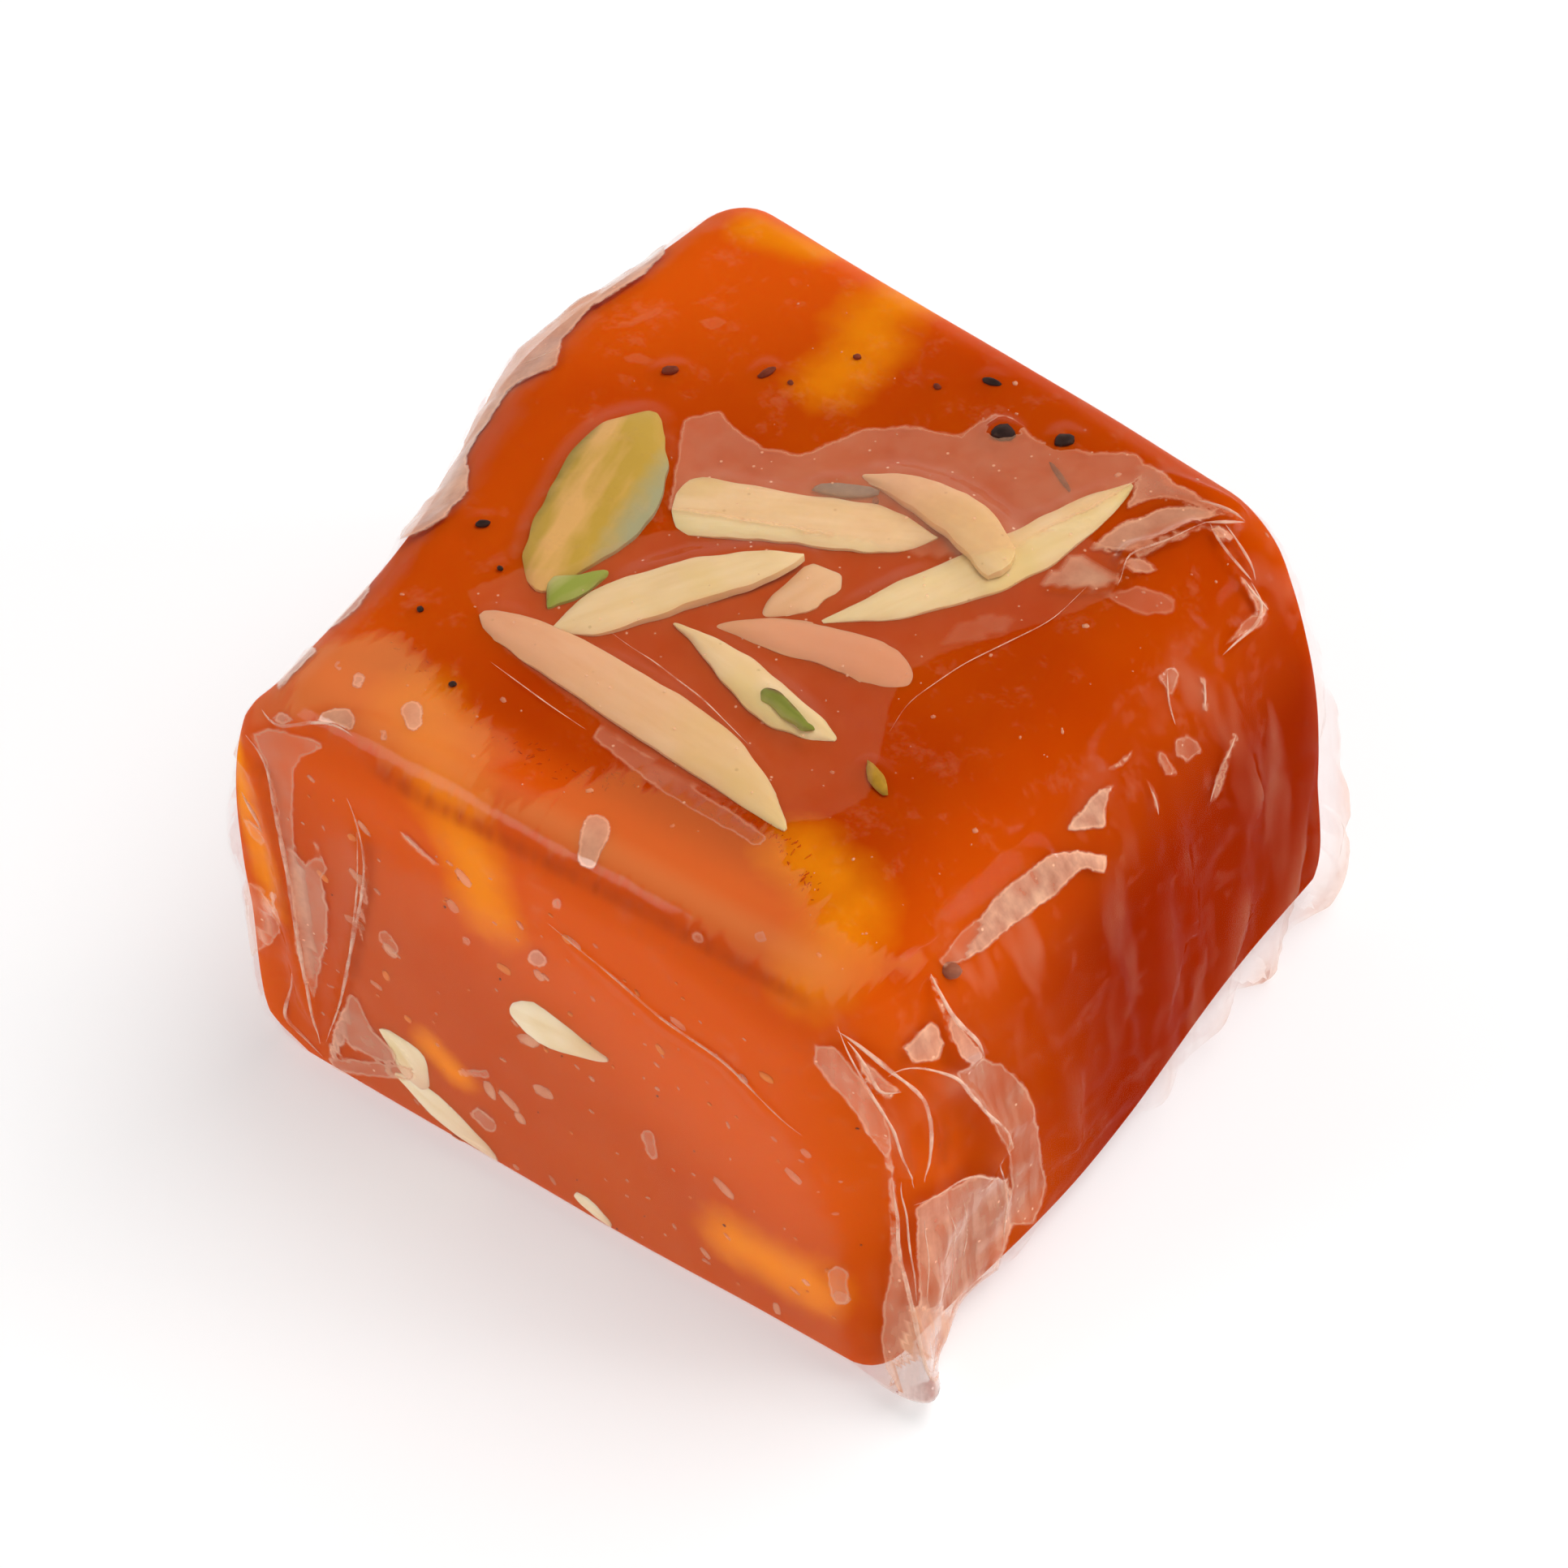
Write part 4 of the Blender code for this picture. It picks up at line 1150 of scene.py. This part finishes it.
painted_end_shade = smooth_step(x, 21.0, 25.0) * smooth_step(y, -14.0, -2.0) * (1 - 0.6 * smooth_step(z, 20.0, 29.0))
write_down(halva, "thin", painted_light_share)
write_down(halva, "thick", painted_end_shade)
write_down(halva, "in_front", smooth_step(-y, 19.0, 24.0))
print("thin halva:", round(100 * float((painted_light_share > 0.5).mean())), "% of the points")

# %% Clear starch halva
halva_gel, tree, here = new_material("clear_starch_halva")
written = ("thin", "thick", "glow", "in_front")
thin, thick, near, in_front = (
    node(tree, "Attribute", output="Fac", attribute_name=name) for name in written
)
cloud = node(tree, "TexNoise", {"Vector": here, "Scale": per_mm(9), "Detail": 3.0})
wisp = node(tree, "TexNoise", {"Vector": here, "Scale": per_mm(1.6), "Detail": 4.0})
ragged = node(tree, "Math", (wisp, 0.5), operation="SUBTRACT")
edge = node(tree, "Math", (ragged, 0.5, near), operation="MULTIPLY_ADD")
glowing = node(tree, "MapRange", (edge, 0.15, 1.0, 0.0, 0.85))
# A glow in the front face lies right behind it, so it is brighter than one under the top.
yellow = node(tree, "Mix", {"Factor": in_front, "A": "#e5840a", "B": "#ff920c"}, "Result", data_type="RGBA")
gel = "#aa2a00"
# The thin share mixes in painted light, and the thick share mixes in painted shade.
for share, over in ((cloud, "#c04c01"), (thin, "#e0590a"), (thick, "#8e1e00"), (glowing, yellow)):
    gel = node(tree, "Mix", {"Factor": share, "A": gel, "B": over}, "Result", data_type="RGBA")
shader = node(tree, "BsdfPrincipled", {
    "Base Color": gel, "Roughness": 0.35, "IOR": 1.42, "Specular IOR Level": 0.0,
    "Subsurface Weight": 0.35, "Subsurface Radius": (1.0, 0.25, 0.08), "Subsurface Scale": 3 * MM,
})
node(tree, "OutputMaterial", (shader,))
halva.data.materials.append(halva_gel)

# %% [markdown]
# ### Blanched almond
# A cut kernel is cream, matt and slightly waxy, with faint streaks along its length. Pieces that
# lie deeper in the halva are stained by it, so each piece gets a number for its stain.

# %% Blanched almond
# Each piece is stained by the halva from the first number at its start to the second at its end.
ALMOND_STAIN = (
    (0.75, 0.12), (0.0, 0.05), (0.10, 0.05), (0.0, 0.05), (0.45, 0.15), (0.5, 0.4), (0.75, 0.9), (0.15, 0.05),
)
for piece, (at_start, at_end) in zip(almonds, ALMOND_STAIN):
    write_down(piece, "stain", at_start + (at_end - at_start) * kept(piece, "along"))
for piece in bits:
    write_down(piece, "stain", 0.5 * kept(piece, "along") ** 3)


def almond_material(name, darker, lighter):
    """Cut almond: two creams in streaks, yellow patches, the halva's stain, its rim and specks."""
    material, tree, here = new_material(name)
    grain = node(tree, "Attribute", output="Vector", attribute_name="grain")
    stained = node(tree, "Attribute", output="Fac", attribute_name="stain")
    rim = node(tree, "Attribute", output="Fac", attribute_name="rim")
    lengthwise = node(tree, "Mapping", {"Vector": grain, "Scale": (0.22, 1.4, 0.6)})
    streak = node(tree, "TexNoise", {"Vector": lengthwise, "Scale": 1.0, "Detail": 4.0})
    patch = node(tree, "TexNoise", {"Vector": here, "Scale": per_mm(5), "Detail": 1.0})
    speck = node(tree, "TexVoronoi", {"Vector": here, "Scale": per_mm(1.4)})
    streaked = node(tree, "MapRange", (streak, 0.3, 0.7))
    patched = node(tree, "MapRange", (patch, 0.52, 0.68, 0.0, 0.5))
    # The halva shows through the last few tenths of a millimetre, where the slice is thin.
    rimmed = node(tree, "MapRange", (rim, 0.85, 1.0, 0.0, 0.2))
    speckled = node(tree, "MapRange", (speck, 0.06, 0.09, 0.4, 0.0))
    coats = ((streaked, lighter), (patched, "#dcc578"), (stained, "#d98a66"), (rimmed, "#e2a068"))
    cream = darker
    for share, over in (*coats, (speckled, "#b08a58")):
        cream = node(tree, "Mix", {"Factor": share, "A": cream, "B": over}, "Result", data_type="RGBA")
    shader = node(tree, "BsdfPrincipled", {
        "Base Color": cream, "Roughness": 0.5, "IOR": 1.45, "Specular IOR Level": 0.2,
        "Subsurface Weight": 0.4, "Subsurface Radius": (1.0, 0.7, 0.4), "Subsurface Scale": 0.8 * MM,
        "Normal": node(tree, "Bump", {"Height": streak, "Strength": 0.3, "Distance": 0.12 * MM}),
    })
    node(tree, "OutputMaterial", (shader,))
    return material


blanched = almond_material("blanched_almond", "#e2c48e", "#ecd2a2")
in_face = almond_material("almond_in_cut_face", "#f4dcb2", "#fdeaca")
for piece in almonds:
    piece.data.materials.append(blanched)
for piece in bits:
    piece.data.materials.append(in_face)

# %% [markdown]
# ### Pistachio
# The slice is tan inside with olive patches, grey-green along its outer side, and the skin along
# its other side is olive. The place across the slice comes from the grain that was written down.

# %% Pistachio kernel
def pistachio_material(name, middle, patch_colour, rim, skin, skin_from, skin_to):
    """Cut pistachio: the middle with patches, a rim on one side and skin on the other."""
    material, tree, here = new_material(name)
    grain = node(tree, "Attribute", output="Vector", attribute_name="grain")
    stretched = node(tree, "Mapping", {"Vector": grain, "Scale": (0.12, 0.45, 0.3)})
    patches = node(tree, "TexNoise", {"Vector": stretched, "Scale": 1.0, "Detail": 3.0})
    fine = node(tree, "TexNoise", {"Vector": here, "Scale": per_mm(1.2), "Detail": 4.0})
    wobble = node(tree, "Math", (fine, 0.5), operation="SUBTRACT")
    across = node(tree, "SeparateXYZ", (grain,), "Y")
    placed = node(tree, "Math", (wobble, 1.2, across), operation="MULTIPLY_ADD")
    patched = node(tree, "MapRange", (patches, 0.45, 0.62))
    to_rim = node(tree, "MapRange", (placed, -1.6, -3.2))
    to_skin = node(tree, "MapRange", (placed, skin_from, skin_to))
    flesh = middle
    for share, over in ((patched, patch_colour), (to_rim, rim), (to_skin, skin)):
        flesh = node(tree, "Mix", {"Factor": share, "A": flesh, "B": over}, "Result", data_type="RGBA")
    shader = node(tree, "BsdfPrincipled", {
        "Base Color": flesh, "Roughness": 0.5, "IOR": 1.45, "Specular IOR Level": 0.3,
        "Subsurface Weight": 0.12, "Subsurface Radius": (0.8, 1.0, 0.3), "Subsurface Scale": 0.5 * MM,
        "Normal": node(tree, "Bump", {"Height": fine, "Strength": 0.35, "Distance": 0.12 * MM}),
    })
    node(tree, "OutputMaterial", (shader,))
    return material


FLESH = (
    ("pistachio_slice_flesh", "#dca862", "#bf983c", "#a39c74", "#8c7a20", 1.9, 2.9),
    ("pistachio_wedge_flesh", "#8c9a38", "#b4b06a", "#74862a", "#74862a", 4.0, 5.0),
    ("pistachio_green_flesh", "#6f7c1c", "#9aa048", "#4f6414", "#5c3416", 0.15, 0.5),
)
for piece, flesh in zip(pistachios, FLESH):
    piece.data.materials.append(pistachio_material(*flesh))

# %% [markdown]
# ### Cardamom, spice and other scraps
# Cardamom seeds are almost black, with a dull, ridged coat. The husk, the grey bit, the crumb and
# the specks of ground spice are the same kind of matt scrap in other colours.

# %% Dull scraps
def scrap_material(name, dark, light):
    """A dull plant scrap, mottled between two colours."""
    material, tree, here = new_material(name)
    mottle = node(tree, "TexNoise", {"Vector": here, "Scale": per_mm(0.5), "Detail": 3.0})
    mixed = node(tree, "Mix", {"Factor": mottle, "A": dark, "B": light}, "Result", data_type="RGBA")
    relief = node(tree, "Bump", {"Height": mottle, "Strength": 0.5, "Distance": 0.1 * MM})
    shader = node(tree, "BsdfPrincipled", {
        "Base Color": mixed, "Roughness": 0.6, "Specular IOR Level": 0.3, "Normal": relief,
    })
    node(tree, "OutputMaterial", (shader,))
    return material


seed_coat = scrap_material("cardamom_seed_coat", "#1c1210", "#3c241c")
seed_husk = scrap_material("cardamom_husk_fibre", "#561c0c", "#8a3c22")
for number, piece in enumerate(seeds, 1):
    piece.data.materials.append(seed_husk if number in HUSKY_SEEDS else seed_coat)
husk.data.materials.append(seed_husk)
SCRAPS = (
    (fleck, "dry_pistachio_fleck", "#8f6414", "#c8982c"),
    (grey_bit, "pistachio_skin_grey", "#6c6058", "#94806e"),
    (pebble, "nutmeg_crumb_brown", "#7a3a24", "#a86448"),
    (orange_specks, "saffron_orange_speck", "#d85c10", "#ec8a28"),
    (dark_specks, "ground_spice_speck", "#5a2410", "#8c4420"),
)
for piece, name, dark, light in SCRAPS:
    piece.data.materials.append(scrap_material(name, dark, light))

# %% [markdown]
# ### Bubbles, folded film and brushed halva
# A bubble is clear, and shows as a pale drop because its wall throws light back. Film folded
# double is bright for the same reason, and partly by a painted highlight. Halva that the film has
# brushed aside lies so thin that it shows in patches. So all three are a plain surface that is
# see-through in patches.

# %% Surfaces that show in patches
def patchy_material(name, size, detail, steps, finish):
    """A finish that shows in patches of this size in millimetres and is see-through between."""
    material, tree, here = new_material(name)
    patches = node(tree, "TexNoise", {"Vector": here, "Scale": per_mm(size), "Detail": detail})
    share = node(tree, "MapRange", (patches, *steps))
    layers = (share, node(tree, "BsdfTransparent"), node(tree, "BsdfPrincipled", finish))
    node(tree, "OutputMaterial", (node(tree, "MixShader", layers),))
    return material


bubble_wall = patchy_material(
    "air_bubble_wall", 3.5, 2.0, (0.3, 0.7, 0.15, 0.6),
    {"Base Color": "#ffc096", "Roughness": 0.2, "IOR": 1.4},
)
folded_double_highlight = patchy_material(
    "cling_film_folded_double", 1.5, 3.0, (0.35, 0.65, 0.12, 0.65),
    {"Base Color": "#fbd3b8", "Roughness": 0.15, "IOR": 1.5},
)
brushed_halva = patchy_material(
    "brushed_halva", 1.2, 3.0, (0.35, 0.65, 0.25, 0.75),
    {"Base Color": "#c84c08", "Roughness": 0.5, "Specular IOR Level": 0.1},
)
bubbles.data.materials.append(bubble_wall)
top_bubbles.data.materials.append(bubble_wall)
creases.data.materials.append(folded_double_highlight)
brush_marks.data.materials.append(brushed_halva)

# %% [markdown]
# ### Cling film
# Stretched polythene film, blown thin and glossy. It is clear where it clings, and milky peach
# where air is caught, because light goes back and forth between film and halva. Fresnel gives
# its mirror, but clinging film keeps only about a fifth of it, because grease dulls it.

# %% Where the film is pale
cling_film, tree, here = new_material("cling_film_polythene")
written = ("air", "paleness", "right_end", "band", "front_haze", "ridge_highlight", "loose", "crease_shade")
air_here, pale_here, at_end, band_here, haze_here, ridge_highlight_here, loose_here, crease_shade_here = (
    node(tree, "Attribute", output="Fac", attribute_name=name) for name in written
)
# The border of a pocket is ragged, as film lets go of halva in small steps.
ripple = node(tree, "TexNoise", {"Vector": here, "Scale": per_mm(1.3), "Detail": 4.0, "Roughness": 0.65})
ripple_off = node(tree, "Math", (ripple, 0.5), operation="SUBTRACT")
shore = node(tree, "Math", (ripple_off, 0.6, air_here), operation="MULTIPLY_ADD")
pocket_share = node(tree, "MapRange", (shore, -0.05, 0.10))
mist = node(tree, "TexNoise", {"Vector": here, "Scale": per_mm(2.5), "Detail": 4.0, "Roughness": 0.6})
uneven = node(tree, "MapRange", (mist, 0.3, 0.7, 0.7, 1.25))
# Film that is drawn tight to the tail and the ends has fine upright streaks.
upright = node(tree, "Mapping", {"Vector": here, "Scale": (per_mm(0.8), per_mm(0.8), per_mm(9))})
drawn = node(tree, "TexNoise", {"Vector": upright, "Scale": 1.0, "Detail": 3.0})
drawn_share = node(tree, "MapRange", (drawn, 0.3, 0.7, 0.65, 1.3))
streaky = node(tree, "Mix", {"Factor": at_end, "A": 1.0, "B": drawn_share})
veil = pale_here
for share in (uneven, streaky, pocket_share):
    veil = node(tree, "Math", (veil, share), operation="MULTIPLY")
# A painted highlight runs as a bright line where the film lifts off, because it is bent there.
at_shore = node(tree, "Math", (shore, 0.12), operation="SUBTRACT")
off_shore = node(tree, "Math", (at_shore,), operation="ABSOLUTE")
bright = node(tree, "MapRange", (off_shore, 0.02, 0.10, 0.14, 0.0))
strong = node(tree, "MapRange", (pale_here, 0.06, 0.18))
veil = node(tree, "Math", (bright, strong, veil), operation="MULTIPLY_ADD")
# Fine pale dots in the pockets of air are painted sparkles.
painted_sparkle_cells = node(tree, "TexVoronoi", {"Vector": here, "Scale": per_mm(1.1)})
drops = node(tree, "MapRange", (painted_sparkle_cells, 0.06, 0.10, 0.45, 0.0))
veil = node(tree, "Math", (drops, pocket_share, veil), operation="MULTIPLY_ADD")
print("numbers that the film's material reads:", len(written))

# %% Film that stands off the halva
# It is pale in streaks, and so are the small folds all over the right end, which lie in clumps.
off_halva = node(tree, "Math", (loose_here, drawn_share), operation="MULTIPLY")
off_veil = node(tree, "Math", (off_halva, 0.38), operation="MULTIPLY")
tall = node(tree, "Mapping", {"Vector": here, "Scale": (per_mm(2.6), per_mm(2.6), per_mm(16))})
pleated = node(tree, "TexNoise", {"Vector": tall, "Scale": 1.0, "Detail": 2.0})
clump = node(tree, "TexNoise", {"Vector": here, "Scale": per_mm(7), "Detail": 2.0})
clumped = node(tree, "MapRange", (clump, 0.4, 0.65, 0.0, 0.15))
well_down = node(tree, "MapRange", (at_end, 0.8, 1.0))
fold_veil = node(tree, "MapRange", (pleated, 0.54, 0.70))
for share in (well_down, clumped):
    fold_veil = node(tree, "Math", (fold_veil, share), operation="MULTIPLY")
for other in (off_veil, fold_veil):
    veil = node(tree, "Math", (veil, other), operation="MAXIMUM")

# %% The band's painted highlight and the front's haze
# The band along the front's upper edge is a pale veil with a painted highlight, brushed out across
# the edge in strokes half a millimetre wide. Below the slack crease the whole front is faintly milky.
strokes = node(tree, "Mapping", {"Vector": here, "Scale": (per_mm(0.6), per_mm(3.5), per_mm(3.5))})
streaks = node(tree, "TexNoise", {"Vector": strokes, "Scale": 1.0, "Detail": 4.0})
streaks_off = node(tree, "Math", (streaks, 0.5), operation="SUBTRACT")
band_shore = node(tree, "Math", (streaks_off, 3.5, band_here), operation="MULTIPLY_ADD")
band_only = node(tree, "MapRange", (band_shore, -0.1, 0.5, 0.0, 0.205))
band_highlight_veil = node(tree, "Math", (ridge_highlight_here, 0.18, band_only), operation="MULTIPLY_ADD")
haze_shore = node(tree, "Math", (ripple_off, 2.0, haze_here), operation="MULTIPLY_ADD")
haze = node(tree, "MapRange", (haze_shore, -0.2, 0.8, 0.0, 0.07))
front_veil = node(tree, "Math", (haze, uneven), operation="MULTIPLY")
# Greasy smears dull the clinging film a little, all over.
smear = node(tree, "TexNoise", {"Vector": here, "Scale": per_mm(2.2), "Detail": 5.0, "Roughness": 0.78})
smeared = node(tree, "MapRange", (smear, 0.55, 0.72, 0.0, 0.09))
pale_share = veil
for other in (band_highlight_veil, front_veil, smeared):
    pale_share = node(tree, "Math", (pale_share, other), operation="MAXIMUM", use_clamp=True)

# %% The film's own light
# The band's painted highlight is a bright orange, and the painted shade in the valleys a deep orange.
PEACH, BAND_HIGHLIGHT_ORANGE, CREASE_SHADE_ORANGE = "#ffc49c", "#ffab62", "#c44a04"
DUSTY_PINK, TIP_WHITE = "#e6a680", "#ecd4cb"
in_band = node(tree, "MapRange", (band_highlight_veil, 0.0, 0.2))
alone = node(tree, "MapRange", (veil, 0.15, 0.3, 1.0, 0.0))
brushed = node(tree, "Math", (in_band, alone), operation="MULTIPLY")
how_pale = node(tree, "MapRange", (pale_here, 0.62, 0.74))
at_tip = node(tree, "MapRange", (pale_here, 0.82, 0.9))
milky = PEACH
for share, over in ((brushed, BAND_HIGHLIGHT_ORANGE), (how_pale, DUSTY_PINK), (at_tip, TIP_WHITE)):
    milky = node(tree, "Mix", {"Factor": share, "A": milky, "B": over}, "Result", data_type="RGBA")
pale = node(tree, "BsdfDiffuse", {"Color": milky})
through = node(tree, "BsdfTranslucent", {"Color": milky})
milk = node(tree, "MixShader", (0.2, pale, through))
# In the valleys between folds a deep orange is painted in as shade.
broken = node(tree, "MapRange", (streaks, 0.3, 0.7, 0.2, 0.55))
crease_shade_share = node(tree, "Math", (crease_shade_here, broken), operation="MULTIPLY")
painted_crease_shade = node(tree, "BsdfDiffuse", {"Color": CREASE_SHADE_ORANGE})
# The clinging film mirrors little, and least at the right end, where the sweet stood by others.
crinkle = node(tree, "TexNoise", {"Vector": here, "Scale": per_mm(1.1), "Detail": 2.0})
wrinkled = node(tree, "Bump", {"Height": crinkle, "Strength": 0.25, "Distance": 0.12 * MM})
fresnel = node(tree, "Fresnel", {"IOR": 1.45, "Normal": wrinkled})
calm = node(tree, "MapRange", (at_end, 0.0, 1.0, 0.22, 0.06))
more = node(tree, "MapRange", (veil, 0.22, 0.5, calm, 1.0))
mirror_share = node(tree, "Math", (fresnel, more), operation="MULTIPLY", use_clamp=True)
gloss = node(tree, "BsdfAnisotropic", {"Color": "#ffffff", "Roughness": 0.07, "Normal": wrinkled})
shader = node(tree, "BsdfTransparent")
for share, over in ((pale_share, milk), (crease_shade_share, painted_crease_shade), (mirror_share, gloss)):
    shader = node(tree, "MixShader", (share, shader, over))
node(tree, "OutputMaterial", (shader,))
film.data.materials.append(cling_film)
print("materials:", [m.name for m in bpy.data.materials])

# %% [markdown]
# ## Whose place each piece takes
# The CAD model has one closed solid for halva and film together, and one for each nut. Each new
# piece hides the solid that it stands for and rides on the one body.

# %% Ride and replace
CAD_NAMES = [f"almond_sliver_{number}" for number in range(1, 9)]
CAD_NAMES += ["pistachio_slice", "pistachio_wedge", "pistachio_shaving"]
for piece, cad_name in zip([*almonds, *pistachios], CAD_NAMES):
    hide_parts(cad_name)
for piece in (halva, film, creases, bubbles, top_bubbles, brush_marks):
    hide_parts("halva_in_film")
everything = [halva, film, creases, bubbles, top_bubbles, brush_marks]
everything += [orange_specks, dark_specks]
everything += [*almonds, *pistachios, *bits, *seeds, husk, fleck, grey_bit, pebble]
for piece in everything:
    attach(piece, "root")
print("pieces:", len(everything), "with", sum(len(p.data.polygons) for p in everything), "faces")

# %% [markdown]
# ## Floor, light and camera
# The sweet stands on a plain sheet of opal acrylic that is also lit from below, so its shadow is
# faint. The large softbox above has a polarising filter, which keeps its mirror image off the top.
# Two small lamps, low on the left and the right, draw the glints along the folds.

# %% Floor
deselect()
bpy.ops.mesh.primitive_plane_add(size=6)
floor_sheet = named("studio_floor")
opal, tree, _ = new_material("opal_sheet_lit_from_below")
shader = node(tree, "BsdfPrincipled", {
    "Base Color": "#c8c8c8", "Roughness": 0.7, "Specular IOR Level": 0.2,
    "Emission Color": "#ffffff", "Emission Strength": 0.45,
})
node(tree, "OutputMaterial", (shader,))
floor_sheet.data.materials.append(opal)


# %% Softboxes
def softbox(name, direction, distance, size, radiance, mirrored=True):
    """A square light in this direction from the sweet, as bright all over as given."""
    place = Vector(direction).normalized() * distance
    power = radiance * math.pi * size * size
    bpy.ops.object.light_add(type="AREA", location=place)
    lamp = bpy.context.object
    lamp.name = lamp.data.name = name
    lamp.rotation_mode = "QUATERNION"
    lamp.rotation_quaternion = place.to_track_quat("Z", "Y")
    lamp.data.shape, lamp.data.size, lamp.data.energy = "SQUARE", size, power
    lamp.visible_camera = False
    lamp.visible_glossy = mirrored
    return lamp


softbox("softbox_above", (0.25, 0.35, 0.9), 1.2, 0.8, 5.5, mirrored=False)
softbox("lamp_left_front", (-0.444, -0.743, 0.45), 1.3, 0.35, 6.0)
softbox("lamp_right_back", (0.743, 0.45, 0.45), 1.3, 0.25, 9.0)

# %% The room's own light
world = bpy.data.worlds.new("studio_room")
bpy.context.scene.world = world
world.use_nodes = True
tree = world.node_tree
tree.nodes.clear()
direction = node(tree, "TexCoord", output="Generated")
up = node(tree, "SeparateXYZ", (direction,), "Z")
ramp = node(tree, "MapRange", (up, 0.3, 0.6, 1.2, 0.1))
room = node(tree, "Background", {"Color": "#ffffff", "Strength": ramp})
node(tree, "OutputWorld", (room,))

# %% Camera at the photograph's viewing angle
# It stands where the photograph was taken from, and is turned a little to bring in the sweet.
CAMERA, AIM = Vector(STATION) * MM, Vector((0.0, -1.0, 15.0)) * MM
turn = Vector(AHEAD).rotation_difference(AIM - CAMERA)
to_aim, to_right = turn @ Vector(AHEAD), turn @ Vector(RIGHTWARD)
axes = Matrix((to_right, to_right.cross(to_aim), -to_aim)).transposed()
deselect()
bpy.ops.object.camera_add(location=CAMERA)
camera = bpy.context.object
camera.name = "studio_camera"
camera.matrix_world = Matrix.Translation(CAMERA) @ axes.to_4x4()
camera.data.lens = 118
camera.data.clip_start, camera.data.clip_end = 0.02, 10
bpy.context.scene.camera = camera
bpy.context.scene.view_settings.view_transform = "Standard"
